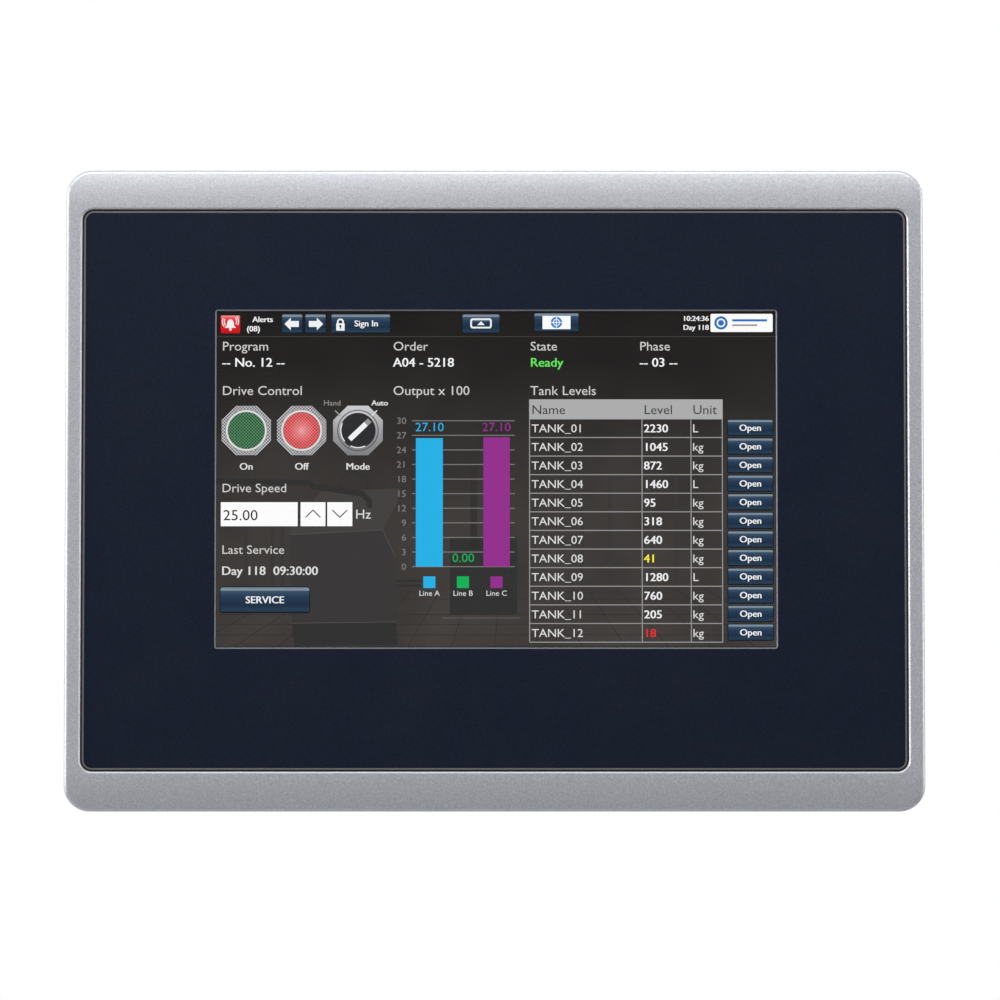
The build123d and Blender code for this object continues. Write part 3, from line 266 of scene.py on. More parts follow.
def foam_rubber():
    """Black foam rubber with open cells."""
    made = Shader("gasket_foam", (0.022, 0.022, 0.023), 0.85, specular=0.2)
    cells = made.node("ShaderNodeTexVoronoi")
    cells.inputs["Scale"].default_value = 2200
    made.join(made.coordinates(), cells.inputs["Vector"])
    made.tint(cells.outputs["Distance"], 0.6, 1.5, spread=0.3)
    made.bump(cells.outputs["Distance"], 0.05 * MM)
    return made.material


MATERIALS = {
    "bezel": bezel_paint(),
    "overlay": overlay_print(),
    "film_edge": moulded("film_cut_edge", linear((112, 108, 106)), 0.45),
    "window_edge": moulded("window_cut_edge", linear((118, 122, 128)), 0.4),
    # Black adhesive sheet under the film. Its edge shows in the narrow groove round the film, and its black
    # there is partly painted shade of that groove.
    "adhesive": moulded("adhesive_black_and_groove_shade", (0.012, 0.013, 0.016), 0.5),
    "membrane": clear("membrane_clear", (0.05, 0.05, 0.05), 0.04, 0.35),
    "glass": clear("glass_clear", (0.03, 0.04, 0.04), 0.03, 0.1),
    "lcd": moulded("lcd_polariser", (0.004, 0.004, 0.005), 0.25),
    "steel_sheet": brushed("steel_sheet", (0.6, 0.6, 0.6)),
    "acrylic": moulded("light_guide_acrylic", (0.85, 0.87, 0.88), 0.12),
    "led_strip": moulded("led_strip_white", (0.8, 0.79, 0.7), 0.4),
    "flex": moulded("polyimide_amber", (0.45, 0.19, 0.03), 0.3),
    "gasket": foam_rubber(),
    "brass": plated("brass_turned", (0.75, 0.55, 0.26), 0.28),
    "gold": plated("gold_plated", (0.9, 0.66, 0.28), 0.2),
    "zinc": plated("zinc_plated", (0.62, 0.64, 0.67), 0.32),
    "black_oxide": plated("black_oxide", (0.07, 0.07, 0.075), 0.4),
    "tin": plated("tin_plated_sheet", (0.72, 0.72, 0.7), 0.22),
    "nickel": plated("nickel_plated", (0.68, 0.67, 0.64), 0.22),
    "ground_steel": brushed("ground_steel", (0.6, 0.6, 0.61), 0.25, stretch=(1, 8, 1)),
    "board": circuit_board(),
    "epoxy": moulded("chip_epoxy", (0.02, 0.02, 0.021), 0.55),
    "anodised": brushed("anodised_aluminium", (0.5, 0.51, 0.53), 0.4),
    "can": brushed("drawn_aluminium", (0.66, 0.67, 0.68), 0.3),
    "black_plastic": moulded("black_plastic", (0.02, 0.02, 0.021), 0.45),
    "green_plastic": moulded("terminal_green", (0.015, 0.16, 0.06), 0.45),
    "red_plastic": moulded("button_red", (0.45, 0.03, 0.025), 0.4),
    "lens": moulded("led_lens_green", (0.22, 0.6, 0.12), 0.15),
    "housing": painted("housing_grey", linear((74, 78, 84)), 0.5, texture=0.03 * MM, per_metre=1300),
    "cover": painted("cover_grey", linear((84, 88, 95)), 0.46, texture=0.025 * MM, per_metre=1500),
    "door": moulded("door_grey", linear((62, 65, 70)), 0.5, 0.02 * MM, 1600),
    "plate": brushed("rating_foil", (0.74, 0.74, 0.73), 0.34, stretch=(12, 1, 1)),
    "port_sheet": brushed("port_plate_sheet", (0.36, 0.37, 0.39), 0.42, stretch=(12, 1, 1)),
    "clamp": plated("clamp_zinc", (0.55, 0.56, 0.58), 0.42),
    "pad": moulded("pad_nylon", (0.03, 0.03, 0.032), 0.5),
}

NODE_MATERIALS = {
    "front_bezel": "bezel", "overlay_film": "overlay", "overlay_adhesive": "adhesive",
    "overlay_edge_bead": "film_edge", "window_edge_bead": "window_edge", "touch_membrane": "membrane",
    "touch_glass": "glass", "touch_tail": "flex", "lcd_cell": "lcd", "lcd_frame": "steel_sheet",
    "light_guide": "acrylic", "led_bar": "led_strip", "lcd_bracket": "steel_sheet", "lcd_flex": "flex",
    "panel_gasket": "gasket", "board_standoffs": "brass", "internal_screws": "zinc", "main_board": "board",
    "processor": "epoxy", "heat_sink": "anodised", "board_chips": "epoxy", "board_capacitors": "can",
    "module_sockets": "black_plastic", "ethernet_jack_1": "black_plastic",
    "ethernet_jack_2": "black_plastic", "serial_jack_1": "black_plastic", "serial_jack_2": "black_plastic",
    "jack_led_windows": "lens", "jack_shields": "tin", "jack_contacts": "gold", "usb_host_jack": "tin",
    "usb_device_jack": "tin", "usb_tongues": "black_plastic", "card_socket": "black_plastic",
    "reset_switch": "black_plastic", "reset_button": "red_plastic", "power_terminal": "green_plastic",
    "power_terminal_screws": "zinc", "rear_housing": "housing", "housing_screws": "black_oxide",
    "module_cover_1": "cover", "module_cover_2": "cover", "module_cover_3": "cover",
    "module_cover_screws": "zinc", "battery_door": "door", "battery_hinge_pin": "ground_steel",
    "battery_holder": "black_plastic", "coin_cell": "nickel", "ground_screw": "brass",
    "rating_plate": "plate", "clamp_brackets": "clamp", "port_plate": "port_sheet",
}
for index in range(1, 5):
    NODE_MATERIALS[f"clamp_pad_{index}"] = "pad"
    NODE_MATERIALS[f"clamp_screw_{index}"] = "zinc"

for node, key in NODE_MATERIALS.items():
    for entry in NODES[node].material_slots:
        entry.material = MATERIALS[key]


# ---------------------------------------------------------------- mesh building blocks
def piece(name, verts, faces, material, body=ROOT, uvs=None):
    """New mesh piece that rides on a body; uvs is one (u, v) for each vertex."""
    mesh = bpy.data.meshes.new(name)
    mesh.from_pydata(verts, [], faces)
    if uvs:
        layer = mesh.uv_layers.new(name="UVMap")
        for loop in mesh.loops:
            layer.data[loop.index].uv = uvs[loop.vertex_index]
    mesh.materials.append(material)
    mesh.validate()
    made = bpy.data.objects.new(name, mesh)
    bpy.context.scene.collection.objects.link(made)
    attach(made, body)
    return made


def lettering(words, size, align="LEFT"):
    """Flat outline of some words as (vertices, faces), x along the line and y up from its baseline."""
    curve = bpy.data.curves.new("words", "FONT")
    curve.body = words
    curve.size = size
    curve.align_x = align
    curve.resolution_u = 3
    holder = bpy.data.objects.new("words", curve)
    bpy.context.scene.collection.objects.link(holder)
    bpy.context.view_layer.update()
    mesh = bpy.data.meshes.new_from_object(holder.evaluated_get(bpy.context.evaluated_depsgraph_get()))
    verts = [(v.co.x, v.co.y) for v in mesh.vertices]
    faces = [tuple(f.vertices) for f in mesh.polygons]
    bpy.data.objects.remove(holder)
    bpy.data.curves.remove(curve)
    bpy.data.meshes.remove(mesh)
    return verts, faces


def arc(centre, radius, start, end, steps):
    """Points (x, y) on an arc, angles in degrees."""
    angles = [math.radians(start + (end - start) * i / steps) for i in range(steps + 1)]
    return [(centre[0] + radius * math.cos(a), centre[1] + radius * math.sin(a)) for a in angles]


def rounded(left, top, right, bottom, radius, steps=5):
    """Corner points of a rounded rectangle in display dots, where v runs down."""
    corners = [((right - radius, bottom - radius), 0), ((left + radius, bottom - radius), 90),
               ((left + radius, top + radius), 180), ((right - radius, top + radius), 270)]
    points = []
    for centre, start in corners:
        points += arc(centre, radius, start, start + 90, steps)
    return points


# ---------------------------------------------------------------- the picture on the display
# Laid out in the display's own grid of 800 x 480 dots: u runs right, v runs down.
DOTS_WIDE, DOTS_HIGH = 800, 480
DOT = 0.1911 * MM
PICTURE_LIFT = 0.25 * MM
LAYER = 0.03 * MM
CELL_LOW, CELL_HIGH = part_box("lcd_cell")
SCREEN_MIDDLE = (CELL_LOW + CELL_HIGH) / 2
LETTER_WIDTH, LETTER_SIZE, BOLD_SPREAD = 1.06, 1.07, 0.32


class Ink:
    """Everything on the display in one colour and at one layer, gathered into one piece."""

    def __init__(self, name, material, layer):
        self.name = name
        self.material = material
        self.depth = CELL_LOW.y - layer * LAYER
        self.verts = []
        self.faces = []
        self.uvs = []

    def shape(self, points, faces=None):
        """Adds points in dots; uv runs 0 to 1 across them, and up."""
        first = len(self.verts)
        across = [u for u, _ in points]
        down = [v for _, v in points]
        wide = max(max(across) - min(across), 1e-6)
        high = max(max(down) - min(down), 1e-6)
        for u, v in points:
            x = SCREEN_MIDDLE.x + (u - DOTS_WIDE / 2) * DOT
            z = SCREEN_MIDDLE.z + PICTURE_LIFT + (DOTS_HIGH / 2 - v) * DOT
            self.verts.append((x, self.depth, z))
            self.uvs.append(((u - min(across)) / wide, (max(down) - v) / high))
        for face in faces or [tuple(range(len(points)))]:
            self.faces.append(tuple(first + i for i in face))

    def box(self, left, top, right, bottom):
        self.shape([(left, bottom), (right, bottom), (right, top), (left, top)])

    def line(self, start, end, width):
        along = Vector(end) - Vector(start)
        side = Vector((-along.y, along.x)).normalized() * width / 2
        ends = [Vector(start) - side, Vector(end) - side, Vector(end) + side, Vector(start) + side]
        self.shape([tuple(p) for p in ends])

    def disc(self, centre, radius, steps=48):
        self.shape(arc(centre, radius, 0, 360, steps)[:-1])

    def ring(self, centre, outer, inner, start=0, end=360, steps=48):
        rim = arc(centre, outer, start, end, steps) + arc(centre, inner, start, end, steps)
        count = steps + 1
        self.shape(rim, [(i, i + 1, count + i + 1, count + i) for i in range(steps)])

    def words(self, text, u, v, size, align="LEFT", bold=False):
        """Words with their baseline at v; size is the font's height in dots."""
        verts, faces = lettering(text, size * LETTER_SIZE, align)
        for shift in (-BOLD_SPREAD, BOLD_SPREAD) if bold else (0,):
            self.shape([(u + shift + x * LETTER_WIDTH, v - y) for x, y in verts], faces)

    def finish(self):
        piece(self.name, self.verts, self.faces, self.material, uvs=self.uvs)


BACKDROP_STOPS = [(0.0, (66, 61, 59)), (0.35, (62, 58, 56)), (0.6, (52, 49, 47)), (0.85, (35, 33, 32)),
                  (1.0, (30, 28, 27))]
LATTICE_PER_METRE = 2350


def lattice(name, dark, light, centre=None):
    """Lamp cap moulded with a diamond lattice; centre is the colour of a soft glow in its middle."""
    made = Shader(name, (0, 0, 0), 0.6, specular=0.0)
    pattern = made.node("ShaderNodeTexChecker")
    pattern.inputs["Scale"].default_value = LATTICE_PER_METRE
    pattern.inputs["Color1"].default_value = linear(dark)
    pattern.inputs["Color2"].default_value = linear(light)
    flat = made.node("ShaderNodeVectorMath", operation="MULTIPLY")
    flat.inputs[1].default_value = (1, 0, 1)
    made.join(made.coordinates(), flat.inputs[0])
    made.join(flat.outputs["Vector"], pattern.inputs["Vector"])
    shade = pattern.outputs["Color"]
    if centre:
        away = made.node("ShaderNodeVectorMath", operation="DISTANCE")
        away.inputs[1].default_value = (0.5, 0.5, 0)
        made.join(made.node("ShaderNodeTexCoord").outputs["UV"], away.inputs[0])
        halo = made.ramp(away.outputs["Value"], [(0.0, (0.6,) * 3), (0.13, (0.25,) * 3), (0.36, (0, 0, 0))])
        shade = made.blend(halo, shade, linear(centre))
    made.set("Emission Color", linear(light))
    made.join(shade, made.shader.inputs["Emission Color"])
    made.set("Emission Strength", SCREEN_POWER)
    return made.material


GEL_STOPS = [(0.0, (22, 36, 52)), (0.06, (40, 62, 84)), (0.3, (26, 46, 68)), (0.62, (36, 58, 84)),
             (0.84, (58, 80, 102)), (0.9, (132, 150, 164)), (1.0, (104, 122, 138))]
STEEL_STOPS = [(0.0, (126, 126, 128)), (0.4, (150, 150, 152)), (0.8, (186, 186, 188)), (1.0, (205, 205, 207))]
RED_STOPS = [(0.0, (196, 18, 24)), (0.5, (226, 28, 34)), (0.85, (240, 70, 74)), (1.0, (248, 150, 150))]
SCREEN_COLOURS = {
    "white": (240, 241, 243), "title": (206, 205, 203), "label": (222, 222, 222), "dim": (150, 148, 146),
    "axis": (128, 126, 124), "rule": (120, 118, 117), "black": (8, 8, 9), "field": (252, 252, 252),
    "cyan": (33, 176, 230), "purple": (146, 44, 140), "green": (6, 176, 84), "lime": (100, 226, 92),
    "yellow": (246, 236, 60), "red": (236, 40, 44), "header": (172, 172, 173), "header_text": (52, 52, 54),
    "table_rule": (150, 149, 149), "edge": (14, 18, 24), "knob": (40, 40, 42), "groove": (84, 84, 86),
    "machine": (54, 52, 51), "machine_top": (64, 62, 60), "machine_dark": (46, 45, 44), "seam": (44, 42, 41),
    "glint": (82, 79, 77), "blue": (42, 112, 196), "sea": (60, 132, 206),
}
SCREEN_MATERIALS = {key: glow("screen_" + key, srgb) for key, srgb in SCREEN_COLOURS.items()}
SCREEN_MATERIALS["backdrop"] = glow_gradient("screen_backdrop", BACKDROP_STOPS, haze=True)
SCREEN_MATERIALS["gel"] = glow_gradient("screen_gel", GEL_STOPS)
SCREEN_MATERIALS["steel"] = glow_gradient("screen_steel", STEEL_STOPS)
SCREEN_MATERIALS["alarm"] = glow_gradient("screen_alarm", RED_STOPS)
SCREEN_MATERIALS["steel_lattice"] = lattice("screen_steel_lattice", (78, 78, 80), (206, 206, 209))
SCREEN_MATERIALS["green_lattice"] = lattice("screen_green_lattice", (16, 40, 28), (92, 152, 108))
SCREEN_MATERIALS["red_lattice"] = lattice("screen_red_lattice", (176, 30, 36), (240, 124, 126),
                                          (255, 196, 200))
INKS = {}


def ink(key, layer):
    """The Ink of one screen colour at one layer, made when first asked for."""
    if (key, layer) not in INKS:
        INKS[key, layer] = Ink(f"screen_{key}_{layer}", SCREEN_MATERIALS[key], layer)
    return INKS[key, layer]


def gel_button(left, top, right, bottom, radius=2.2):
    """Blue button with a glossy upper edge in a dark surround."""
    ink("edge", 3).shape(rounded(left - 1.2, top - 1.2, right + 1.2, bottom + 1.4, radius + 1))
    ink("gel", 4).shape(rounded(left, top, right, bottom, radius))


def octagon(centre, apothem):
    """Corner points of an octagon standing on a flat side."""
    radius = apothem / math.cos(math.radians(22.5))
    return arc(centre, radius, 22.5, 382.5, 8)[:-1]


# Backdrop: a dim workshop with a machine, pipes, a cabinet and a tiled floor.
ink("backdrop", 1).box(0, 0, DOTS_WIDE, DOTS_HIGH)
for level in (412, 434, 448, 463):
    ink("seam", 2).line((0, level), (DOTS_WIDE, level), 0.8)
for foot in range(-160, 1000, 62):
    lean = (foot - 420) * 0.32
    ink("seam", 2).line((foot, DOTS_HIGH), (foot - lean, 398), 0.9)
ink("machine_top", 2).shape([(103, 320), (118, 296), (150, 258), (261, 254), (259, 273), (238, 313)])
ink("machine", 2).shape([(106, 320), (238, 313), (256, 352), (257, 444), (108, 446)])
ink("machine_dark", 2).shape([(108, 447), (257, 445), (260, 478), (112, 479)])
ink("glint", 3).line((108, 446.5), (257, 444.5), 1.0)
ink("glint", 3).line((106, 320), (238, 313), 0.9)
ink("glint", 3).line((238, 313), (256, 352), 0.9)
ink("machine_dark", 3).line((0, 243), (138, 246), 8.5)
ink("machine_dark", 3).line((134, 250), (212, 262), 8.5)
ink("machine_dark", 3).ring((208, 276), 15, 7, -80, 30, 14)
ink("machine_dark", 3).ring((197, 252), 22, 19.6, -180, 0, 18)
ink("machine_dark", 2).box(363, 180, 373, 329)
ink("machine_dark", 2).box(360, 329, 376, 340)
ink("machine_dark", 2).box(334, 324, 430, 434)
ink("glint", 2).box(322, 438, 434, 440)
for column in (40, 78, 92, 520, 560, 655):
    ink("machine", 2).box(column, 236, column + 5, 398)
for pipe in (386, 393):
    ink("machine_dark", 3).line((257, pipe), (292, pipe), 3.4)

# Top bar: alarm button, counter, arrows, sign-in, keyboard, language, clock and a plain round emblem.
ink("edge", 3).shape(rounded(4.8, 5.0, 34.4, 32.6, 2.4))
ink("alarm", 4).shape(rounded(5.7, 5.9, 33.3, 31.4, 1.8))
bell = [(11.5, 23.6), (14.2, 20.2), (15.2, 14.6), (17.4, 11.8), (19.5, 11.0), (21.6, 11.8), (23.8, 14.6),
        (24.8, 20.2), (27.5, 23.6)]
ink("white", 5).shape(bell[::-1])
ink("white", 5).disc((19.5, 25.6), 2.0, 16)
for side in (-1, 1):
    for reach in (9.4, 12.2):
        middle = 180 if side < 0 else 0
        ink("white", 5).ring((19.5, 14.5), reach, reach - 1.3, middle - 40, middle + 25, 10)
ink("white", 5).words("Alerts", 51, 15.2, 10.5, bold=True)
ink("white", 5).words("(08)", 42.6, 28.7, 10.5, bold=True)
for left, right, way in ((93.5, 122.4, -1), (126.7, 155.8, 1)):
    gel_button(left, 4.3, right, 30.7)
    middle = (left + right) / 2
    arrow = [(11.0, 0), (2.0, -9.0), (2.0, -4.3), (-9.5, -4.3), (-9.5, 4.3), (2.0, 4.3), (2.0, 9.0)]
    ink("white", 5).shape([(middle + way * u, 18 + v) for u, v in arrow][::way])
gel_button(164.2, 4.3, 248, 30.7)
ink("white", 5).box(171, 17, 183, 27.6)
ink("white", 5).ring((177, 15.2), 5.0, 2.7, -180, 0, 16)
for side in (-1, 1):
    ink("white", 5).box(177 + side * 3.85 - 1.15, 15.2, 177 + side * 3.85 + 1.15, 17.2)
ink("edge", 6).disc((177, 21), 1.6, 16)
ink("edge", 6).box(176.2, 21, 177.8, 25)
ink("white", 5).words("Sign In", 214, 21.4, 11.5, "CENTER", True)
gel_button(351.9, 4.3, 404.7, 30.7)
ink("white", 5).shape(rounded(363, 9.9, 393.7, 24.4, 3.6))
ink("gel", 6).shape(rounded(365.4, 12.2, 391.3, 22.1, 1.8))
ink("white", 7).shape([(373, 19.6), (383.7, 19.6), (378.3, 14.2)])
gel_button(454.9, 2.7, 518, 28.6)
ink("field", 5).box(466.4, 6.4, 506.5, 25.4)
ink("sea", 6).disc((486.4, 15.9), 8.2)
ink("field", 7).ring((486.4, 15.9), 5.0, 4.0)
ink("field", 7).box(478.4, 15.4, 494.4, 16.4)
ink("field", 7).box(485.9, 7.9, 486.9, 23.9)
ink("white", 5).words("10:24:36", 704.7, 13.6, 9.6, "RIGHT", True)
ink("white", 5).words("Day 118", 704.7, 26.4, 9.6, "RIGHT", True)
ink("field", 4).shape(rounded(707, 3.5, 796, 29.5, 2.0))
ink("blue", 5).disc((722, 16.5), 9.6)
ink("field", 6).ring((722, 16.5), 6.2, 4.2)
ink("blue", 5).box(738, 11.2, 788, 14.4)
ink("dim", 5).box(738, 18.6, 774, 21.0)
ink("machine_top", 3).box(0, 35.6, DOTS_WIDE, 36.6)

# Headings of the page and of its three groups.
LEFT_COLUMN, MIDDLE_COLUMN, RIGHT_COLUMN = 7.6, 252.3, 448.6
PAGE_FACTS = ((LEFT_COLUMN, "Program", "-- No. 12 --", "white"),
              (MIDDLE_COLUMN, "Order", "A04 - 5218", "white"),
              (RIGHT_COLUMN, "State", "Ready", "lime"),
              (605, "Phase", "-- 03 --", "white"))
for u, title, value, colour in PAGE_FACTS:
    ink("title", 5).words(title, u, 56.1, 17)
    ink(colour, 5).words(value, u, 79.3, 17, bold=True)
for u, title in ((LEFT_COLUMN, "Drive Control"), (MIDDLE_COLUMN, "Output x 100"),
                 (RIGHT_COLUMN, "Tank Levels")):
    ink("title", 5).words(title, u, 120, 17.5)

# Two lamp buttons and a selector.
LAMP_ROW, NAME_ROW = 170.9, 227
SELECTOR = (202.3, LAMP_ROW)
for u, cap, name in ((42.7, "green_lattice", "On"), (121.8, "red_lattice", "Off")):
    ink("edge", 3).shape(octagon((u, LAMP_ROW), 36.4))
    ink("steel_lattice", 4).shape(octagon((u, LAMP_ROW), 35.4))
    ink("dim", 5).disc((u, LAMP_ROW), 30.4)
    ink("label", 6).disc((u, LAMP_ROW), 29.2)
    ink("groove", 7).disc((u, LAMP_ROW), 26.6)
    ink(cap, 8).disc((u, LAMP_ROW), 25.9)
    ink("label", 5).words(name, u, NAME_ROW, 13, "CENTER", True)
ink("edge", 3).shape(octagon(SELECTOR, 36.4))
ink("steel", 4).shape(octagon(SELECTOR, 35.6))
ink("groove", 5).disc(SELECTOR, 29.6)
ink("steel", 6).disc(SELECTOR, 28.2)
ink("knob", 7).disc(SELECTOR, 25.4)
ink("white", 8).ring(SELECTOR, 25.2, 23.8, 140, 205, 16)
ink("white", 8).ring(SELECTOR, 25.2, 23.8, 65, 115, 14)
ink("white", 8).line((190.4, 183.6), (219.2, 156.2), 7.4)
ink("dim", 9).line((213.6, 161.5), (219.2, 156.2), 7.4)
ink("dim", 5).words("Hand", 165.4, 135, 10.2, "CENTER")
ink("label", 5).words("Auto", 233.5, 135, 10.2, "CENTER", True)
ink("dim", 8).line((169.6, 142.1), (176.6, 149.6), 1.8)
ink("label", 8).line((229.6, 142.1), (222, 149.6), 1.8)
ink("label", 5).words("Mode", SELECTOR[0], NAME_ROW, 13, "CENTER", True)

# Speed entry, service date and service button.
ink("title", 5).words("Drive Speed", LEFT_COLUMN, 259.2, 16.5)
ink("edge", 3).box(5.6, 272.6, 117.4, 308.9)
ink("field", 4).box(6.5, 273.5, 116.4, 307.9)
ink("black", 5).words("25.00", 9.5, 299.4, 20)
for left, right, way in ((120.5, 156.1, -1), (158.6, 194.5, 1)):
    ink("edge", 3).box(left - 0.9, 272.6, right + 0.9, 308.9)
    ink("field", 4).box(left, 273.5, right, 307.9)
    middle = (left + right) / 2
    for side in (-1, 1):
        ink("black", 5).line((middle, 290 + way * 5.2), (middle + side * 10.6, 290 - way * 5.2), 1.5)
ink("label", 5).words("Hz", 198.5, 297, 17.5)
ink("title", 5).words("Last Service", LEFT_COLUMN, 347.4, 16.5)
ink("label", 5).words("Day 118  09:30:00", LEFT_COLUMN, 377.5, 16.5, bold=True)
gel_button(6.5, 395.2, 133.2, 430.7, 3.0)
ink("white", 5).words("SERVICE", 69.8, 418, 13.5, "CENTER", True)

# Bar chart.
SCALE_TOP, SCALE_STEP = 156.9, 20.88
for step in range(11):
    level = SCALE_TOP + SCALE_STEP * step
    ink("rule", 3).box(279.8, level - 0.7, 426.6, level + 0.7)
    ink("axis", 5).words(str(30 - 3 * step), 271.7, level + 4.6, 12.5, "RIGHT")
ink("cyan", 4).box(285.2, 181.8, 323.8, 365.7)
ink("purple", 4).box(381.8, 180.5, 419.5, 365.7)
READINGS = (("cyan", 284, 171.9, "27.10"), ("purple", 379.7, 171.9, "27.10"), ("green", 337, 359, "0.00"))
for key, u, v, reading in READINGS:
    ink(key, 5).words(reading, u, v, 16.5)
for key, u, name in (("cyan", 304.6, "Line A"), ("green", 352.6, "Line B"), ("purple", 400.5, "Line C")):
    ink(key, 4).box(u - 8.6, 379.6, u + 8.6, 396.3)
    ink("label", 5).words(name, u, 407.2, 10, "CENTER")

# Table with one button to each row.
TABLE_LEFT, TABLE_RIGHT, TABLE_TOP = 447.8, 724, 126.2
ROWS_TOP, ROW_HEIGHT, RULE_HALF = 154.3, 26.6, 0.7
ink("header", 4).box(TABLE_LEFT, TABLE_TOP, TABLE_RIGHT, ROWS_TOP)
for u, heading in ((450.5, "Name"), (611, "Level"), (681, "Unit")):
    ink("header_text", 5).words(heading, u, 147.4, 17.5)
LEVELS = ("2230", "1045", "872", "1460", "95", "318", "640", "41", "1280", "760", "205", "18")
for row, level in enumerate(LEVELS):
    top = ROWS_TOP + ROW_HEIGHT * row
    baseline = top + 19.2
    ink("label", 5).words(f"TANK_{row + 1:02d}", 450.5, baseline, 15.5)
    colour = {7: "yellow", 11: "red"}.get(row, "white")
    ink(colour, 5).words(level, 611, baseline, 15.5, bold=True)
    ink("label", 5).words("L" if row in (0, 3, 8) else "kg", 680.5, baseline, 15.5)
    gel_button(731.4, top + 1.3, 795.4, top + 23.5, 1.8)
    ink("white", 5).words("Open", 763.5, top + 17, 12.2, "CENTER", True)
for row in range(len(LEVELS) + 1):
    level = ROWS_TOP + ROW_HEIGHT * row
    ink("table_rule", 3).box(TABLE_LEFT, level - RULE_HALF, TABLE_RIGHT, level + RULE_HALF)
for u in (TABLE_LEFT, 608.6, 678.6, 723.4):
    ink("table_rule", 3).box(u - RULE_HALF, TABLE_TOP, u + RULE_HALF, ROWS_TOP + ROW_HEIGHT * len(LEVELS))

for made in INKS.values():
    made.finish()


# ---------------------------------------------------------------- threads of the clamp screws
THREAD_PITCH, THREAD_CREST, THREAD_ROOT = 0.7 * MM, 2.0 * MM, 1.65 * MM
THREAD_STEPS = 28
THREAD_PROFILE = ((0.0, THREAD_ROOT), (0.38, THREAD_CREST), (0.56, THREAD_CREST), (0.94, THREAD_ROOT),
                  (1.0, THREAD_ROOT))
HEAD_LENGTH = 3.4 * MM


def threaded_screw(node):
    """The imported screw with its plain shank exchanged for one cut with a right-hand thread."""
    source = NODES[node]
    low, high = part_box(node)
    middle = (low + high) / 2
    head_front = high.y - HEAD_LENGTH
    verts = [tuple(v.co) for v in source.data.vertices]
    faces = [tuple(f.vertices) for f in source.data.polygons
             if min(verts[i][1] for i in f.vertices) > head_front - 0.02 * MM]
    first = len(verts)
    rows = THREAD_STEPS * math.ceil((head_front - low.y) / THREAD_PITCH + 1)
    for step in range(rows + 1):
        turn = -2 * math.pi * step / THREAD_STEPS
        for rise, radius in THREAD_PROFILE:
            y = low.y + (step / THREAD_STEPS - 1 + rise) * THREAD_PITCH
            y = min(max(y, low.y), head_front)
            verts.append((middle.x + radius * math.cos(turn), y, middle.z + radius * math.sin(turn)))
    columns = len(THREAD_PROFILE)
    for step in range(rows):
        for column in range(columns - 1):
            corner = first + step * columns + column
            faces.append((corner, corner + 1, corner + columns + 1, corner + columns))
    tip = len(verts)
    for x, z in arc((middle.x, middle.z), THREAD_ROOT, 0, 360, THREAD_STEPS)[:-1]:
        verts.append((x, low.y, z))
    faces.append(tuple(range(tip, tip + THREAD_STEPS)))
    made = piece(node + "_threaded", verts, faces, MATERIALS["zinc"], body=node)
    mesh = bmesh.new()
    mesh.from_mesh(made.data)
    bmesh.ops.delete(mesh, geom=[v for v in mesh.verts if not v.link_faces], context="VERTS")
    bmesh.ops.recalc_face_normals(mesh, faces=mesh.faces)
    mesh.to_mesh(made.data)
    mesh.free()
    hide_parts(node)


for index in range(1, 5):
    threaded_screw(f"clamp_screw_{index}")


# ---------------------------------------------------------------- printed marks on the outside
class Print:
    """Thin printed marks on a flat face: x and y run along right and up from an origin."""

    def __init__(self, name, material, origin, right, up, body=ROOT):
        self.name, self.material, self.body = name, material, body
        self.origin, self.right, self.up = Vector(origin), Vector(right), Vector(up)
        self.verts = []
        self.faces = []

    def shape(self, points, faces=None):
        first = len(self.verts)
        for x, y in points:
            self.verts.append(tuple(self.origin + (self.right * x + self.up * y) * MM))
        for face in faces or [tuple(range(len(points)))]:
            self.faces.append(tuple(first + i for i in face))

    def box(self, left, low, right, high):
        self.shape([(left, low), (right, low), (right, high), (left, high)])

    def words(self, text, x, y, size):
        verts, faces = lettering(text, size, "CENTER")
        self.shape([(x + u, y + v) for u, v in verts], faces)

    def finish(self):
        piece(self.name, self.verts, self.faces, self.material, body=self.body)


PRINT_RISE = 0.02 * MM
MARK_WHITE = moulded("mark_white", linear((205, 207, 208)), 0.5)
MARK_BLACK = moulded("mark_black", linear((40, 41, 43)), 0.5)

# Numbers beside the ports, and the poles of the power terminal, on the plate in the bottom wall.
PORT_LOW, PORT_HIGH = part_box("port_plate")
ports = Print("port_marks", MARK_WHITE, (0, 0, PORT_LOW.z - PRINT_RISE), (1, 0, 0), (0, -1, 0))
PORT_NODES = ("usb_device_jack", "usb_host_jack", "ethernet_jack_1", "ethernet_jack_2", "serial_jack_1",
              "serial_jack_2")
MARK_LINE = -PORT_HIGH.y / MM + 2.0
for number, node in enumerate(PORT_NODES, start=1):
    low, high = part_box(node)
    ports.words(str(number), (low.x + high.x) / 2 / MM, MARK_LINE, 1.7)
POWER_LOW, POWER_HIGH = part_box("power_terminal")
POLE_STEP, POLE_ARM, POLE_LINE = 5.08, 0.9, 0.14
power_middle = (POWER_LOW.x + POWER_HIGH.x) / 2 / MM
MARK_TOP = -POWER_HIGH.y / MM - 2.0
for offset in (-1, 0, 1):
    x = power_middle + offset * POLE_STEP
    ports.box(x - POLE_ARM, MARK_TOP - POLE_LINE, x + POLE_ARM, MARK_TOP + POLE_LINE)
    if offset < 0:
        ports.box(x - POLE_LINE, MARK_TOP - POLE_ARM, x + POLE_LINE, MARK_TOP + POLE_ARM)
    if offset > 0:
        ports.box(x - POLE_LINE, MARK_TOP, x + POLE_LINE, MARK_TOP + 1.0)
        ports.box(x - 0.58, MARK_TOP - 0.62, x + 0.58, MARK_TOP - 0.38)
        ports.box(x - 0.28, MARK_TOP - 1.06, x + 0.28, MARK_TOP - 0.84)
ports.finish()

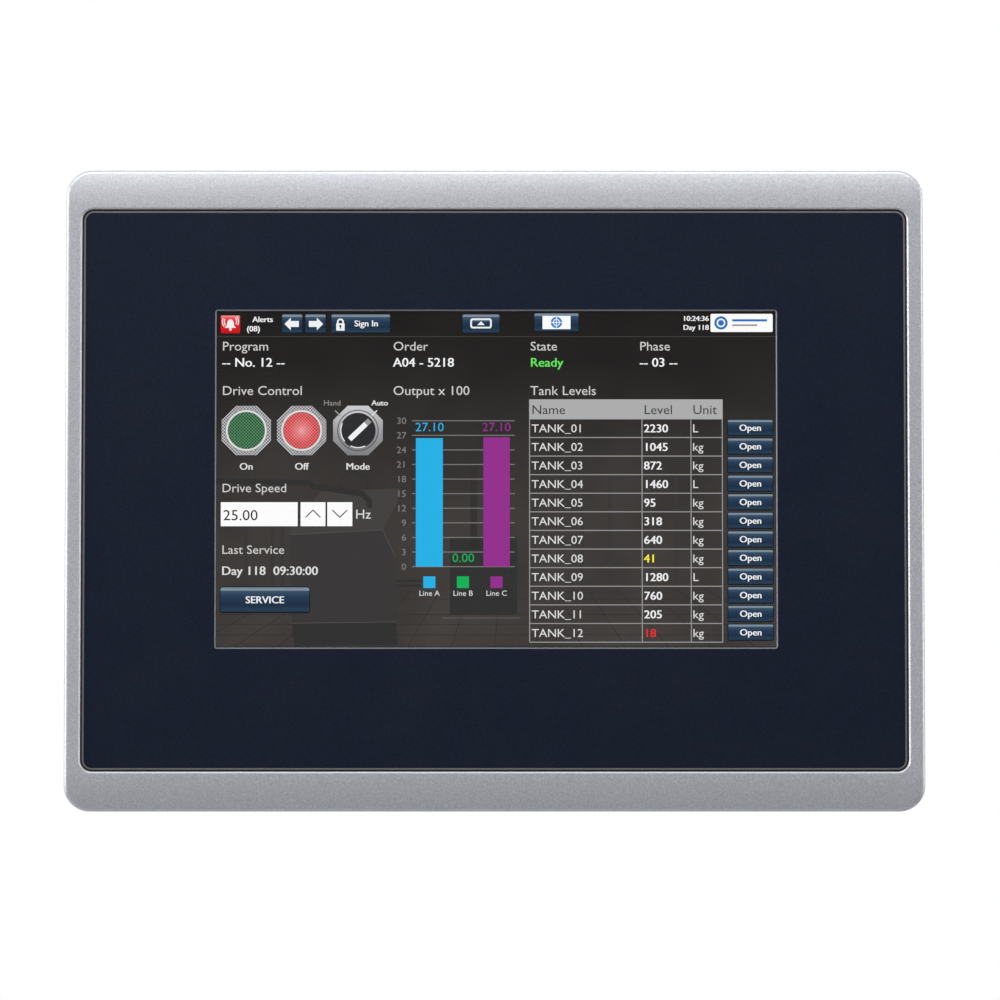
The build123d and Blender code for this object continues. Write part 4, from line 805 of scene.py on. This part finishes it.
# Ruled, blank fields and a row of bars on the rating plate, numbers on the module covers, and a battery on
# the battery door.
PLATE_LOW, PLATE_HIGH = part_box("rating_plate")
plate_middle = (PLATE_LOW + PLATE_HIGH) / 2
plate = Print("rating_plate_rules", MARK_BLACK, (plate_middle.x, PLATE_HIGH.y + PRINT_RISE, plate_middle.z),
              (-1, 0, 0), (0, 0, 1))
RULES_SIDE, RULES_BOTTOM, RULES_TOP, RULE_LINE = 17.5, -15.0, 14.5, 0.12
for rule in (RULES_TOP, 9.5, 4.5, -0.5, -5.5, -10.5, RULES_BOTTOM):
    plate.box(-RULES_SIDE, rule - RULE_LINE, RULES_SIDE, rule + RULE_LINE)
for rule in (-RULES_SIDE, -4.0, RULES_SIDE):
    plate.box(rule - RULE_LINE, RULES_BOTTOM, rule + RULE_LINE, RULES_TOP)
BARS_LEFT, BAR_STEP, BAR_WIDTHS = -2.6, 0.88, (0.28, 0.5, 0.18)
for column in range(22):
    left = BARS_LEFT + column * BAR_STEP
    plate.box(left, -9.6, left + BAR_WIDTHS[column % 3], -6.4)
plate.finish()
for index in range(1, 4):
    low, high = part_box(f"module_cover_{index}")
    bay = Print(f"bay_number_{index}", MARK_WHITE, ((low.x + high.x) / 2, high.y + PRINT_RISE, low.z),
                (-1, 0, 0), (0, 0, 1))
    bay.words(str(index), 18.0, 4.0, 4.2)
    bay.finish()
DOOR_LOW, DOOR_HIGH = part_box("battery_door")
door_middle = (DOOR_LOW + DOOR_HIGH) / 2
COVER_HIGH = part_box("module_cover_1")[1]
symbol_middle = (door_middle.x, COVER_HIGH.y + PRINT_RISE, DOOR_LOW.z + 13 * MM)
battery = Print("battery_symbol", MARK_WHITE, symbol_middle, (-1, 0, 0), (0, 0, 1), body="battery_door")
BATTERY_OUTLINE = ((-5, -2.6, 5, -2.1), (-5, 2.1, 5, 2.6), (-5, -2.1, -4.5, 2.1), (4.5, -2.1, 5, 2.1),
                   (5, -1.0, 5.9, 1.0))
BATTERY_POLES = ((1.6, -0.2, 3.6, 0.2), (2.4, -1.0, 2.8, 1.0), (-3.6, -0.2, -1.6, 0.2))
for left, low, right, high in BATTERY_OUTLINE + BATTERY_POLES:
    battery.box(left, low, right, high)
battery.finish()


# ---------------------------------------------------------------- room, light and camera
def plain(name, colour, roughness):
    """Even, pale surface with very slow variation."""
    made = Shader(name, colour, roughness, specular=0.2)
    made.tint(made.noise(4.0, 2.0), 0.985, 1.015)
    return made.material


FLOOR_LEVEL = -0.9
floor = piece("floor", [(x, y, FLOOR_LEVEL) for x, y in ((-0.8, -0.8), (0.8, -0.8), (0.8, 0.5), (-0.8, 0.5))],
              [(0, 1, 2, 3)], plain("floor_pale", (0.8, 0.8, 0.8), 0.7))

# The room is dim to the object and white to the camera.
ROOM, BACKGROUND = (0.165, 0.172, 0.19, 1), (1, 1, 1, 1)
world = bpy.data.worlds.new("studio")
world.use_nodes = True
bpy.context.scene.world = world
tree = world.node_tree
background = tree.nodes["Background"]
seen = tree.nodes.new("ShaderNodeLightPath")
mix = tree.nodes.new("ShaderNodeMix")
mix.data_type = "RGBA"
mix.inputs[6].default_value = ROOM
mix.inputs[7].default_value = BACKGROUND
tree.links.new(seen.outputs["Is Camera Ray"], mix.inputs[0])
tree.links.new(mix.outputs[2], background.inputs["Color"])


def soft_light(name, place, size, power):
    """Soft box that faces the object."""
    lamp = bpy.data.lights.new(name, "AREA")
    lamp.shape = "RECTANGLE"
    lamp.size, lamp.size_y = size
    lamp.energy = power
    holder = bpy.data.objects.new(name, lamp)
    holder.location = place
    holder.rotation_euler = (-Vector(place)).to_track_quat("-Z", "Y").to_euler()
    bpy.context.scene.collection.objects.link(holder)


soft_light("light_top", (-0.1, -0.62, 1.05), (1.2, 0.5), 15.5)
soft_light("light_left", (-1.1, -0.12, 0.15), (0.4, 1.0), 11)
soft_light("light_right", (1.1, -0.06, 0.15), (0.4, 1.0), 7)
soft_light("light_front", (-0.8, -1.75, 1.0), (1.0, 0.8), 2)
soft_light("light_back", (0.6, 1.9, 0.9), (1.2, 1.0), 20)

camera_data = bpy.data.cameras.new("camera")
camera = bpy.data.objects.new("camera", camera_data)
bpy.context.scene.collection.objects.link(camera)
CAMERA_TARGET = Vector((0, -7.5 * MM, 0))
CAMERA_DISTANCE, CAMERA_TILT = 1.2, math.radians(-2.9)
camera.location = CAMERA_TARGET + CAMERA_DISTANCE * Vector((0, -math.cos(CAMERA_TILT), math.sin(CAMERA_TILT)))
camera.rotation_euler = (CAMERA_TARGET - camera.location).to_track_quat("-Z", "Y").to_euler()
camera_data.sensor_width = 36
camera_data.lens = 158.7
camera_data.shift_x = 0.0055
camera_data.shift_y = -0.0105
camera_data.clip_start = 0.05
bpy.context.scene.camera = camera
bpy.context.scene.view_settings.view_transform = "Standard"
